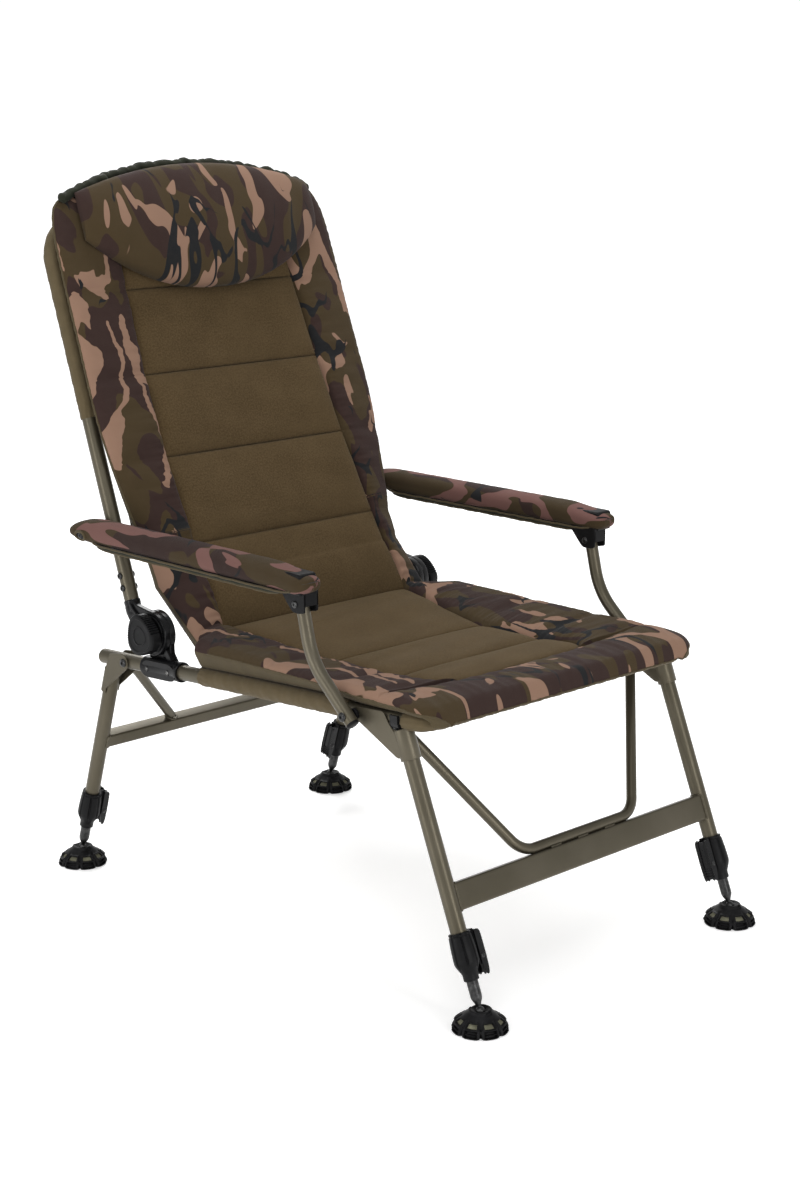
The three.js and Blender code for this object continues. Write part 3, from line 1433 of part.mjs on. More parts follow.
const supports = new THREE.Group();
supports.position.set(0, frontPivot.y, hingeHeight + frontPivot.z);
addPair(supports, 'arm_tube', paint, armSupport());
addPair(supports, 'arm_tube_plug', blackPlastic, armTubePlug());
chair.add(supports);

// Adds the four pieces of a leg end to a leg frame, with the foot level on the ground.
function addLegEnd(group, name, side, set, drop, lean) {
  const end = new THREE.Group();
  end.position.set(side * railOffset, set, -drop);
  const sided = (geometry) => (side > 0 ? geometry : shaped([mirrored(geometry)]));
  end.add(node(`${name}_collar`, blackPlastic, sided(legCollar())));
  end.add(node(`${name}_lever`, glossPlastic, sided(legLever())));
  end.add(node(`${name}_inner_leg`, steel, shaped([innerLeg()])));
  const foot = node(`${name}_foot`, blackPlastic, mudFoot());
  foot.rotation.x = -lean;
  end.add(foot);
  group.add(end);
}

const frontLegs = new THREE.Group();
frontLegs.position.set(0, frontPivot.y, hingeHeight + frontPivot.z);
frontLegs.rotation.x = -radians(frontLegLean);
addPair(frontLegs, 'front_leg', paint, frontLeg());
frontLegs.add(node('front_crossbar', paint, frontCrossbar()));
addPair(frontLegs, 'leg_saddle', glossPlastic, legSaddleClip());
chair.add(frontLegs);

const rearLegs = new THREE.Group();
rearLegs.position.set(0, rearPivot.y, hingeHeight + rearPivot.z);
rearLegs.rotation.x = radians(rearLegLean);
addPair(rearLegs, 'rear_leg', paint, rearLeg());
rearLegs.add(node('rear_crossbar', paint, rearCrossbar()));
chair.add(rearLegs);

for (const [name, side] of [['left', 1], ['right', -1]]) {
  addLegEnd(frontLegs, `front_${name}`, side, -frontLegSet, frontBallDrop, -radians(frontLegLean));
  addLegEnd(rearLegs, `rear_${name}`, side, rearLegSet, rearBallDrop, radians(rearLegLean));
}

chair.updateMatrixWorld(true);
const extent = new THREE.Box3().setFromObject(chair, true);
chair.position.y = -(extent.min.y + extent.max.y) / 2;

export default chair;
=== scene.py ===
import json
import logging
import math
from collections.abc import Callable, Sequence
from dataclasses import dataclass, field, replace
from enum import Enum

import bmesh
import bpy
import numpy as np
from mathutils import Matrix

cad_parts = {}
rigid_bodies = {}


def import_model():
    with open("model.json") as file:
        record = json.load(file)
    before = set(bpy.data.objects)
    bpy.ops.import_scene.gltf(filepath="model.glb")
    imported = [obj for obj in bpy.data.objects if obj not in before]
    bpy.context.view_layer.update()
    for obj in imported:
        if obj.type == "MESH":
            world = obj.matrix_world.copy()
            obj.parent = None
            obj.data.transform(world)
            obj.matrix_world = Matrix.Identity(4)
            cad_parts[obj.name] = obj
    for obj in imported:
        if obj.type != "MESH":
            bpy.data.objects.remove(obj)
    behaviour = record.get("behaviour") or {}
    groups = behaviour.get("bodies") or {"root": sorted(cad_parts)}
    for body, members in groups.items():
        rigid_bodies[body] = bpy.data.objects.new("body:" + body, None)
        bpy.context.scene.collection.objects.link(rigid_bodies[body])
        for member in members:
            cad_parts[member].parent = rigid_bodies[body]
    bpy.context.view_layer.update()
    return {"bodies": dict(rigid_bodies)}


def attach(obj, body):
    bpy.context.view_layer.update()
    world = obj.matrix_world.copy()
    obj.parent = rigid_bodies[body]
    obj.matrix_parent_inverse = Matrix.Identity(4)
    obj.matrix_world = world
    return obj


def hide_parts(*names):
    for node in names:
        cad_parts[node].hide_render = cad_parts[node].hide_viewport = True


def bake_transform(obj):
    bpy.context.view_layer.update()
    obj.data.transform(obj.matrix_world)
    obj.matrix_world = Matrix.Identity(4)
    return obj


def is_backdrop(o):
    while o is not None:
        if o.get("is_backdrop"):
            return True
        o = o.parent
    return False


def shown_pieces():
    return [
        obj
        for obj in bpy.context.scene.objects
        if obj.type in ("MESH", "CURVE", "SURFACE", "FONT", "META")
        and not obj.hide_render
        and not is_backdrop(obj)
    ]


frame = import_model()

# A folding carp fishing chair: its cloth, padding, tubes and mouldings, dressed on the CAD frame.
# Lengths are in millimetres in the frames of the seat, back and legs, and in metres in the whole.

LOG = logging.getLogger("chair")
METRES = 0.001
SOFT_CREASE, SLEEVE_CREASE = 80.0, 50.0
Array = np.ndarray
Pair = tuple[float, float]
Triple = tuple[float, float, float]
Colour = Triple
Profile = tuple[Pair, ...]
Table = tuple[tuple[float, ...], ...]


# Shader graphs


class Value:
    """An output socket of a shader graph that can be used in sums."""

    def __init__(self, graph: "Graph", socket: bpy.types.NodeSocket) -> None:
        """Keeps the socket and the graph that it is in."""
        self.graph = graph
        self.socket = socket

    def _maths(self, operation: str, *others: "Value | float") -> "Value":
        """Adds a Math node that takes this value and then the others."""
        inputs = dict(enumerate((self, *others)))
        return self.graph.add("ShaderNodeMath", inputs, operation=operation)

    def __add__(self, other: "Value | float") -> "Value":
        """Sum of two values."""
        return self._maths("ADD", other)

    def __sub__(self, other: "Value | float") -> "Value":
        """Difference of two values."""
        return self._maths("SUBTRACT", other)

    def __rsub__(self, other: float) -> "Value":
        """Difference of a number and the value."""
        return self.graph.add("ShaderNodeMath", {0: other, 1: self}, operation="SUBTRACT")

    def __mul__(self, other: "Value | float") -> "Value":
        """Product of two values."""
        return self._maths("MULTIPLY", other)

    def __abs__(self) -> "Value":
        """The value without its sign."""
        return self._maths("ABSOLUTE")

    __radd__ = __add__
    __rmul__ = __mul__

    def sine(self) -> "Value":
        """Sine of the value, in radians."""
        return self._maths("SINE")

    def largest(self, other: "Value | float") -> "Value":
        """The larger of two values."""
        return self._maths("MAXIMUM", other)

    def smallest(self, other: "Value | float") -> "Value":
        """The smaller of two values."""
        return self._maths("MINIMUM", other)

    def step(self, low: float, high: float) -> "Value":
        """Smooth step of the value, from 0 at the low number to 1 at the high one."""
        inputs = {"Value": self, "From Min": low, "From Max": high}
        return self.graph.add("ShaderNodeMapRange", inputs, interpolation_type="SMOOTHSTEP")


class Graph:
    """The node graph of one material."""

    def __init__(self, name: str) -> None:
        """Makes the material with its shader."""
        self.material = bpy.data.materials.new(name)
        self.material.use_nodes = True
        self.tree = self.material.node_tree
        self.shader = self.tree.nodes["Principled BSDF"]

    def add(
        self, kind: str, inputs: dict | None = None, output: int | str = 0, **settings: object
    ) -> Value:
        """Adds a node.

        Args:
            kind: the node's type.
            inputs: values or numbers for its input sockets, by name or index.
            output: name or index of the socket to return.
            settings: properties of the node.

        Returns:
            The chosen output as a value.
        """
        node = self.tree.nodes.new(kind)
        for key, setting in settings.items():
            setattr(node, key, setting)
        for key, value in (inputs or {}).items():
            self._feed(node.inputs[key], value)
        return Value(self, node.outputs[output])

    def _feed(self, socket: bpy.types.NodeSocket, value: object) -> None:
        """Links a value to an input socket, or sets the socket to a number or colour."""
        if isinstance(value, Value):
            self.tree.links.new(value.socket, socket)
        elif isinstance(value, tuple) and len(value) == 3 and socket.type == "RGBA":
            socket.default_value = (*value, 1.0)
        else:
            socket.default_value = value

    def place(
        self, stretch: Triple = (1, 1, 1), turn: float = 0.0, attribute: str | None = None
    ) -> Value:
        """Coordinates of the surface.

        Args:
            stretch: scale on each axis.
            turn: turn about the third axis, in degrees.
            attribute: the mesh's attribute to read, if not the object's place.

        Returns:
            A vector value.
        """
        if attribute is None:
            source = self.add("ShaderNodeTexCoord", output="Object")
        else:
            source = self.add("ShaderNodeAttribute", output="Vector", attribute_name=attribute)
        inputs = {"Vector": source, "Scale": stretch, "Rotation": (0, 0, math.radians(turn))}
        return self.add("ShaderNodeMapping", inputs=inputs)

    def noise(
        self, where: Value, scale: float, detail: float = 2, distortion: float = 0,
        rough: float = 0.5,
    ) -> Value:
        """Noise at a place.

        Args:
            where: coordinates in metres.
            scale: spots per metre.
            detail: number of finer layers.
            distortion: how far the spots are drawn out.
            rough: strength of the finer layers.

        Returns:
            A value from 0 to 1.
        """
        inputs = {"Vector": where, "Scale": scale, "Detail": detail}
        inputs |= {"Distortion": distortion, "Roughness": rough}
        return self.add("ShaderNodeTexNoise", inputs=inputs, output="Fac")

    def split(self, where: Value) -> tuple[Value, Value, Value]:
        """The three numbers of a vector."""
        node = self.tree.nodes.new("ShaderNodeSeparateXYZ")
        self.tree.links.new(where.socket, node.inputs[0])
        return tuple(Value(self, output) for output in node.outputs)

    def mix(self, share: Value | float, low: Value | Colour, high: Value | Colour) -> Value:
        """A colour between two others.

        Args:
            share: 0 for the first colour and 1 for the second.
            low: the first colour.
            high: the second colour.

        Returns:
            The colour.
        """
        node = self.tree.nodes.new("ShaderNodeMix")
        node.data_type = "RGBA"
        for index, value in ((0, share), (6, low), (7, high)):
            self._feed(node.inputs[index], value)
        return Value(self, node.outputs[2])

    def set(self, **values: object) -> None:
        """Sets or links the shader's sockets, whose names have _ for each space."""
        for key, value in values.items():
            self._feed(self.shader.inputs[key.replace("_", " ")], value)

    def bump(self, *layers: tuple[Value, float]) -> None:
        """Raises the surface by one or more heights.

        Args:
            layers: pairs of a height from 0 to 1 and its depth in millimetres.
        """
        height = None
        for value, depth in layers:
            part = value * depth
            height = part if height is None else height + part
        inputs = {"Height": height, "Distance": METRES, "Strength": 1.0}
        self.set(Normal=self.add("ShaderNodeBump", inputs=inputs, output="Normal"))


@dataclass(frozen=True)
class Finish:
    """A surface finish: the material's name and the record's slot that it belongs to."""

    name: str
    slot: str

    def material(self) -> bpy.types.Material:
        """Makes the material."""
        graph = Graph(self.name)
        self.fill(graph)
        return graph.material

    def fill(self, graph: Graph) -> None:
        """Adds the finish's nodes to its material."""
        raise NotImplementedError


@dataclass(frozen=True)
class Paint(Finish):
    """Satin powder coat with a fine orange peel and a little dust."""

    colour: Colour = (0.077, 0.067, 0.046)
    light: Colour = (0.098, 0.086, 0.062)

    def fill(self, graph: Graph) -> None:
        """Adds the finish's nodes."""
        where = graph.place()
        cloud = graph.noise(where, 9, 3)
        peel = graph.noise(where, 900, 2)
        scuff = graph.noise(graph.place((1, 1, 0.25)), 60, 5, rough=0.7)
        graph.set(
            Base_Color=graph.mix(cloud.step(0.3, 0.75), self.colour, self.light),
            Roughness=0.31 + 0.1 * scuff + 0.05 * cloud, Metallic=0.72, Specular_IOR_Level=0.3,
        )
        graph.bump((peel, 0.012), (scuff, 0.01))


@dataclass(frozen=True)
class Moulding(Finish):
    """Black moulded plastic, satin or smooth."""

    colour: Colour = (0.005, 0.005, 0.0054)
    rough: float = 0.4
    grain: float = 0.03
    coat: float = 0.0

    def fill(self, graph: Graph) -> None:
        """Adds the finish's nodes."""
        where = graph.place()
        grain = graph.noise(where, 1400, 2)
        worn = graph.noise(where, 35, 5, rough=0.65)
        lighter = tuple(2.2 * part for part in self.colour)
        graph.set(
            Base_Color=graph.mix(worn.step(0.45, 0.8), self.colour, lighter),
            Roughness=self.rough + 0.14 * (worn - 0.5) + 0.05 * grain, Specular_IOR_Level=0.1,
            Coat_Weight=self.coat, Coat_Roughness=0.16,
        )
        graph.bump((grain, self.grain), (worn, 0.03))


@dataclass(frozen=True)
class Steel(Finish):
    """Plated steel of bolts and pins."""

    colour: Colour = (0.03, 0.03, 0.03)
    rough: float = 0.3

    def fill(self, graph: Graph) -> None:
        """Adds the finish's nodes."""
        where = graph.place()
        stain = graph.noise(where, 120, 4, rough=0.6)
        turning = graph.noise(graph.place((1, 30, 30)), 60, 2)
        bright = tuple(2.4 * part for part in self.colour)
        graph.set(
            Base_Color=graph.mix(stain.step(0.4, 0.7), self.colour, bright),
            Roughness=self.rough + 0.15 * stain, Metallic=0.9,
        )
        graph.bump((turning, 0.01), (stain, 0.01))


def woven(graph: Graph, where: Value, pitch: float) -> Value:
    """Height of a plain weave.

    Args:
        graph: the material's graph.
        where: coordinates on the cloth, in metres.
        pitch: distance between threads, in millimetres.

    Returns:
        A height from 0 to 1.
    """
    across, along, _ = graph.split(where)
    rate = 2 * math.pi / (pitch * METRES)
    warp = (across * rate).sine() * 0.5 + 0.5
    weft = (along * rate).sine() * 0.5 + 0.5
    return warp.largest(weft)


@dataclass(frozen=True)
class Camouflage(Finish):
    """Brushed polyester with a generic woodland pattern of four colours."""

    base: Colour = (0.041, 0.0275, 0.0125)
    brown: Colour = (0.0265, 0.0145, 0.0125)
    tan: Colour = (0.2, 0.12, 0.083)
    black: Colour = (0.0085, 0.0095, 0.011)
    turn: float = 0.0
    scale: float = 1.0

    def fill(self, graph: Graph) -> None:
        """Adds the finish's nodes."""
        where = graph.place(attribute="cloth")
        pattern = graph.place((1.75, 0.9, 1.0), self.turn, "cloth")
        spread = [
            graph.add("ShaderNodeVectorMath", inputs={0: pattern, 1: shift}, operation="ADD")
            for shift in ((0.0, 0.0, 0.0), (3.1, 7.7, 1.3), (9.4, 2.2, 5.1), (4.6, 8.3, 2.9))
        ]
        brown = graph.noise(spread[0], 7.6 * self.scale, 1.0, 1.1).step(0.5, 0.506)
        tan = graph.noise(spread[1], 8.8 * self.scale, 0.8, 1.5).step(0.572, 0.577)
        ridge = abs(graph.noise(spread[2], 6.8 * self.scale, 1.2, 1.8) - 0.5)
        room = graph.noise(spread[3], 6.0 * self.scale, 1.0, 0.8)
        width = ((room - 0.515) * 0.8).smallest(0.045)
        black = (width - ridge).step(0.0, 0.004)
        colour = graph.mix(brown, self.base, self.brown)
        colour = graph.mix(tan, colour, self.tan)
        colour = graph.mix(black, colour, self.black)
        fade = graph.noise(where, 55, 5, rough=0.7)
        nap = graph.noise(where, 1600, 3, rough=0.7)
        worn = graph.mix(0.16, colour, (0.09, 0.068, 0.045))
        colour = graph.mix(fade.step(0.3, 0.9) * 0.35 + nap.step(0.3, 0.8) * 0.25, colour, worn)
        weave = woven(graph, where, 0.55)
        graph.set(
            Base_Color=colour, Roughness=0.86 + 0.12 * nap, Sheen_Weight=0.03, Sheen_Roughness=0.5,
            Specular_IOR_Level=0.12,
        )
        graph.bump((weave, 0.05), (nap, 0.09), (fade, 0.12))


@dataclass(frozen=True)
class Fleece(Finish):
    """Soft brushed olive fleece."""

    colour: Colour = (0.042, 0.027, 0.0115)
    light: Colour = (0.08, 0.053, 0.025)

    def fill(self, graph: Graph) -> None:
        """Adds the finish's nodes."""
        where = graph.place(attribute="cloth")
        mottle = graph.noise(where, 16, 4, rough=0.6)
        nap = graph.noise(where, 330, 5, rough=0.75)
        fibre = graph.noise(graph.place((1, 3.5, 1), 12, "cloth"), 700, 3, rough=0.7)
        tone = mottle.step(0.25, 0.8) * 0.3 + nap.step(0.35, 0.65) * 0.7
        graph.set(
            Base_Color=graph.mix(tone, self.colour, self.light), Roughness=0.86 + 0.12 * nap,
            Sheen_Weight=0.08, Sheen_Roughness=0.5, Sheen_Tint=(0.85, 0.75, 0.55),
            Specular_IOR_Level=0.08,
        )
        graph.bump((nap, 0.3), (fibre, 0.16), (mottle, 0.5))


@dataclass(frozen=True)
class Polyester(Finish):
    """Plain woven polyester of the sling, its sleeves and bindings."""

    colour: Colour = (0.067, 0.05, 0.025)
    light: Colour = (0.094, 0.071, 0.038)
    pitch: float = 0.8

    def fill(self, graph: Graph) -> None:
        """Adds the finish's nodes."""
        where = graph.place(attribute="cloth")
        weave = woven(graph, where, self.pitch)
        cloud = graph.noise(where, 30, 5, rough=0.65)
        slub = graph.noise(graph.place((1, 0.12, 1), 0, "cloth"), 380, 3)
        tone = cloud.step(0.3, 0.75) * 0.6 + weave * 0.25 + slub * 0.15
        graph.set(
            Base_Color=graph.mix(tone, self.colour, self.light), Roughness=0.68 + 0.2 * cloud,
            Sheen_Weight=0.05, Specular_IOR_Level=0.15,
        )
        graph.bump((weave, 0.09), (slub, 0.05), (cloud, 0.15))


@dataclass(frozen=True)
class Thread(Finish):
    """Stitching thread and sewn seams."""

    colour: Colour = (0.014, 0.01, 0.006)

    def fill(self, graph: Graph) -> None:
        """Adds the finish's nodes."""
        ply = graph.noise(graph.place((1, 1, 1)), 1500, 3)
        lighter = tuple(1.8 * part for part in self.colour)
        graph.set(Base_Color=graph.mix(ply, self.colour, lighter), Roughness=0.7 + 0.2 * ply)
        graph.bump((ply, 0.15))


class Look(Enum):
    """The finishes of the chair's pieces."""

    PAINT = Paint("olive_paint", "frame_paint")
    SATIN = Moulding("satin_black", "satin_plastic")
    GLOSS = Moulding("smooth_black", "gloss_plastic", rough=0.26, grain=0.008, coat=0.15)
    INSERT = Moulding("grey_insert", "satin_plastic", colour=(0.115, 0.112, 0.078), rough=0.6)
    BOLT = Steel("black_steel", "black_steel")
    PIN = Steel("bright_steel", "black_steel", colour=(0.11, 0.108, 0.105), rough=0.3)
    CAMO = Camouflage("camo_cloth", "camo_cloth", turn=90)
    CAMO_PILLOW = Camouflage("camo_pillow", "camo_cloth", turn=0, scale=0.88)
    # The armrests' camouflage has its pattern turned and larger. Its colours are darker than the
    # other camouflage as painted shade, which offsets the top lamp on the armrests.
    CAMO_ARM_SHADED = Camouflage(
        "camo_armrest_shaded", "camo_cloth", base=(0.035, 0.0235, 0.0108), brown=(0.0225, 0.0125, 0.0108),
        tan=(0.12, 0.06, 0.052), turn=70, scale=0.8,
    )
    FLEECE = Fleece("olive_fleece", "fleece")
    SLING = Polyester("olive_polyester", "sling_cloth")
    BINDING = Polyester(
        "olive_binding", "camo_cloth", (0.046, 0.034, 0.017), (0.07, 0.054, 0.028), 1.4
    )
    RUFFLE = Polyester(
        "dark_binding", "camo_cloth", (0.0085, 0.0095, 0.0055), (0.02, 0.022, 0.012), 1.4
    )
    THREAD = Thread("dark_thread", "camo_cloth")


class Palette:
    """Makes each material once, when it is first asked for."""

    def __init__(self) -> None:
        """Starts with no material."""
        self._made: dict[Look, bpy.types.Material] = {}

    def __getitem__(self, finish: Look) -> bpy.types.Material:
        """The material of a finish."""
        if finish not in self._made:
            self._made[finish] = finish.value.material()
        return self._made[finish]


PALETTE = Palette()


# Frames of reference


@dataclass(frozen=True)
class Place:
    """A frame at a place in the whole, in millimetres, that leans about X by some degrees."""

    y: float
    z: float
    lean: float
    body: str = ""

    def out(self, points: Array) -> Array:
        """Points in the row frame, in metres, of points in this frame, in millimetres."""
        angle = math.radians(self.lean)
        cosine, sine = math.cos(angle), math.sin(angle)
        x, y, z = np.moveaxis(np.asarray(points, float), -1, 0)
        turned = (x, self.y + y * cosine - z * sine, self.z + y * sine + z * cosine)
        return np.stack(turned, axis=-1) * METRES

    def child(self, y: float, z: float, lean: float = 0.0) -> "Place":
        """A frame at a place in this one, turned further."""
        _, new_y, new_z = self.out(np.array([0.0, y, z])) / METRES
        return Place(float(new_y), float(new_z), self.lean + lean)


# Places in the seat's frame, from the hinge's axis: the rails, the legs' pivots and the front bar.
# Places in the back's frame: its tube, the armrest's pivot and the top bar. Then the clevis' pin.
RAIL_Z, REAR_Y, FRONT_Y, FRONT_BAR = -55, 69, -475, 598
TUBE_Y, ARM_ALONG, BACK_BAR = 40, 171, 674
CLEVIS = (-477.378, -27.566)
RAIL = 284.0
TUBE = 12.0
SIDES = ((1, "left"), (-1, "right"))
SEAT = Place(239.382, 440, -3.3, "seat")
BACK = Place(239.382, 440, -19.1, "back")
ARM = replace(BACK.child(TUBE_Y, ARM_ALONG), lean=0)
SUPPORT = replace(SEAT.child(FRONT_Y, RAIL_Z), lean=0)
FRONT = replace(SUPPORT, lean=-22.2)
REAR = replace(SEAT.child(REAR_Y, RAIL_Z), lean=17.4)


def smooth(where: Array, table: Sequence[Sequence[float]], column: int = 1) -> Array:
    """A smooth curve through the rows of a table, flat beyond its ends.

    Args:
        where: places along the first column.
        table: rows that start with their place.
        column: the column to follow.

    Returns:
        The curve's values at the places.
    """
    rows = np.asarray(table, float)
    x, y = rows[:, 0], rows[:, column]
    slope = np.gradient(y, x)
    at = np.clip(np.asarray(where, float), x[0], x[-1])
    i = np.clip(np.searchsorted(x, at) - 1, 0, len(x) - 2)
    width = x[i + 1] - x[i]
    t = (at - x[i]) / width
    low, high = y[i], y[i + 1]
    curve = (2 * t**3 - 3 * t**2 + 1) * low + (3 * t**2 - 2 * t**3) * high
    return curve + width * ((t**3 - 2 * t**2 + t) * slope[i] + (t**3 - t**2) * slope[i + 1])


def ease(share: Array) -> Array:
    """A smooth step from 0 to 1."""
    held = np.clip(share, 0, 1)
    return held * held * (3 - 2 * held)


def ripple(*waves: tuple[Array, float]) -> Array:
    """Uneven waves from -1 to 1, made of sines with phases that wander.

    Args:
        waves: pairs of a phase in radians and a share.

    Returns:
        The sum of the sines.
    """
    total = 0.0
    for phase, share in waves:
        wander = 0.8 * np.sin(phase * 0.37 + 1.3), 0.5 * np.sin(phase * 0.171)
        total = total + share * np.sin(phase + wander[0] + wander[1])
    return total


# Mesh pieces


@dataclass
class Shell:
    """Points and faces gathered for one object, in the millimetres of a frame."""

    place: Place
    side: int = 1
    points: list[Array] = field(default_factory=list)
    cloth: list[Array] = field(default_factory=list)
    faces: list[tuple[int, ...]] = field(default_factory=list)
    finishes: list[Look] = field(default_factory=list)
    slots: list[int] = field(default_factory=list)
    count: int = 0

    def _keep(self, points: Array, cloth: Array | None) -> int:
        """Adds points, and gives the index of the first of them."""
        flat = np.asarray(points, float).reshape(-1, 3)
        start = self.count
        self.points.append(flat)
        self.cloth.append(flat if cloth is None else np.asarray(cloth, float).reshape(-1, 3))
        self.count += len(flat)
        return start

    def _face(self, faces: Sequence[Sequence[int]], finish: Look) -> None:
        """Adds faces in a finish."""
        if finish not in self.finishes:
            self.finishes.append(finish)
        self.faces.extend(map(tuple, faces))
        self.slots.extend([self.finishes.index(finish)] * len(faces))

    def grid(
        self, points: Array, finish: Look, ring: bool = True, caps: bool = True,
        cloth: Array | None = None,
    ) -> None:
        """Adds a surface through rows of points.

        Args:
            points: array of rows, columns and 3.
            finish: its finish.
            ring: whether each row closes on itself.
            caps: whether the first and last rows are closed by a face.
            cloth: coordinates on the cloth, if not the points.
        """
        rows, columns = points.shape[:2]
        start = self._keep(points, cloth)
        index = start + np.arange(rows * columns).reshape(rows, columns)
        if ring:
            index = np.concatenate([index, index[:, :1]], axis=1)
        corners = (index[:-1, :-1], index[:-1, 1:], index[1:, 1:], index[1:, :-1])
        self._face(np.stack(corners, axis=-1).reshape(-1, 4).tolist(), finish)
        if ring and caps:
            self._face([index[0, :-1][::-1].tolist(), index[-1, :-1].tolist()], finish)

    def lathe(
        self, profile: Sequence[Pair], finish: Look, at: Triple = (0, 0, 0), axis: int = 2,
        sides: int = 32, shape: Callable[[Array, Array], Array] | None = None,
    ) -> None:
        """Adds a profile of radii and places, spun about an axis.

        Args:
            profile: pairs of a radius and a place.
            finish: its finish.
            at: a point on the axis.
            axis: the axis, 0 to 2.
            sides: number of flat sides.
            shape: changes the radii, given the angles and the radii.
        """
        outline = np.asarray(profile, float)
        angle = 2 * np.pi * np.arange(sides) / sides
        radius = np.repeat(outline[:, :1], sides, axis=1)
        if shape is not None:
            radius = shape(angle[None, :], radius)
        spots = np.empty((len(outline), sides, 3))
        spots[..., axis] = outline[:, 1:]
        spots[..., (axis + 1) % 3] = radius * np.cos(angle)
        spots[..., (axis + 2) % 3] = radius * np.sin(angle)
        self.grid(spots + np.asarray(at, float), finish)

    def plate(
        self, outline: Sequence[Pair], span: Pair, finish: Look, axis: int = 0,
        edge: float = 0.6, at: Triple = (0, 0, 0),
    ) -> None:
        """Adds a flat outline with a thickness and eased edges.

        Args:
            outline: corners on the two next axes, anticlockwise.
            span: ends of its thickness.
            finish: its finish.
            axis: the thickness' axis, 0 to 2.
            edge: width of the eased edges.
            at: where the outline's origin lies.
        """
        shape = np.asarray(outline, float)
        ahead = np.roll(shape, -1, axis=0) - shape
        behind = shape - np.roll(shape, 1, axis=0)
        unit = [leg / np.linalg.norm(leg, axis=1, keepdims=True) for leg in (ahead, behind)]
        inward = np.stack([-(unit[0] + unit[1])[:, 1], (unit[0] + unit[1])[:, 0]], axis=1)
        size = np.maximum((inward**2).sum(axis=1, keepdims=True) / 2, 0.35)
        inset = shape + inward / size * edge
        low, high = span
        rows = [(inset, low), (shape, low + edge), (shape, high - edge), (inset, high)]
        points = np.empty((4, len(shape), 3))
        for row, (corners, level) in enumerate(rows):
            points[row, :, axis] = level
            points[row, :, (axis + 1) % 3] = corners[:, 0]
            points[row, :, (axis + 2) % 3] = corners[:, 1]
        self.grid(points + np.asarray(at, float), finish)

    def tube(
        self, route: "Route", radius: float | Array, finish: Look, sides: int = 32,
        caps: bool = True, cloth: bool = False,
    ) -> None:
        """Adds a round tube along a route.

        Args:
            route: the tube's axis.
            radius: its radius, or radii along and round it.
            finish: its finish.
            sides: number of flat sides.
            caps: whether the ends are closed.
            cloth: whether its cloth runs round and along it.
        """
        centre, normal, across = route.frames()
        angle = 2 * np.pi * np.arange(sides) / sides
        radii = np.broadcast_to(np.asarray(radius, float), (len(centre), sides))[..., None]
        cosine, sine = np.cos(angle)[None, :, None], np.sin(angle)[None, :, None]
        points = centre[:, None] + radii * (cosine * normal[:, None] + sine * across[:, None])
        wrap = None
        if cloth:
            arc = np.repeat(route.lengths()[:, None], sides, axis=1)
            turned = np.repeat((angle * np.mean(radii))[None], len(centre), axis=0)
            wrap = np.stack([turned, arc, np.zeros_like(arc)], axis=-1)
        self.grid(points, finish, caps=caps, cloth=wrap)

    def build(self, name: str, crease: float = 35.0) -> bpy.types.Object:
        """Makes the object.

        Args:
            name: its name.
            crease: angle beyond which an edge stays sharp.

        Returns:
            The object.
        """
        points = np.concatenate(self.points)
        points[:, 0] *= self.side
        faces = self.faces if self.side > 0 else [face[::-1] for face in self.faces]
        mesh = bpy.data.meshes.new(name)
        mesh.from_pydata(self.place.out(points), [], faces)
        mesh.polygons.foreach_set("material_index", self.slots)
        cloth = mesh.attributes.new("cloth", "FLOAT_VECTOR", "POINT")
        cloth.data.foreach_set("vector", (np.concatenate(self.cloth) * METRES).ravel())
        for finish in self.finishes:
            mesh.materials.append(PALETTE[finish])
        turn_outwards(mesh)
        mesh.shade_smooth()
        mesh.set_sharp_from_angle(angle=math.radians(crease))
        made = bpy.data.objects.new(name, mesh)
        bpy.context.scene.collection.objects.link(made)
        self.finishes[0].value.slot
        return made

    def dress(self, name: str, body: str, node: str, crease: float = 35.0) -> bpy.types.Object:
        """Makes the object in place of a CAD node.

        Args:
            name: its name.
            body: the body that it rides.
            node: the node that it replaces.
            crease: angle beyond which an edge stays sharp.

        Returns:
            The object.
        """
        made = self.build(name, crease)
        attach(made, body)
        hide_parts(node)
        return made


def turn_outwards(mesh: bpy.types.Mesh) -> None:
    """Makes every closed part of a mesh face outwards."""
    work = bmesh.new()
    work.from_mesh(mesh)
    bmesh.ops.recalc_face_normals(work, faces=work.faces)
    work.to_mesh(mesh)
    work.free()


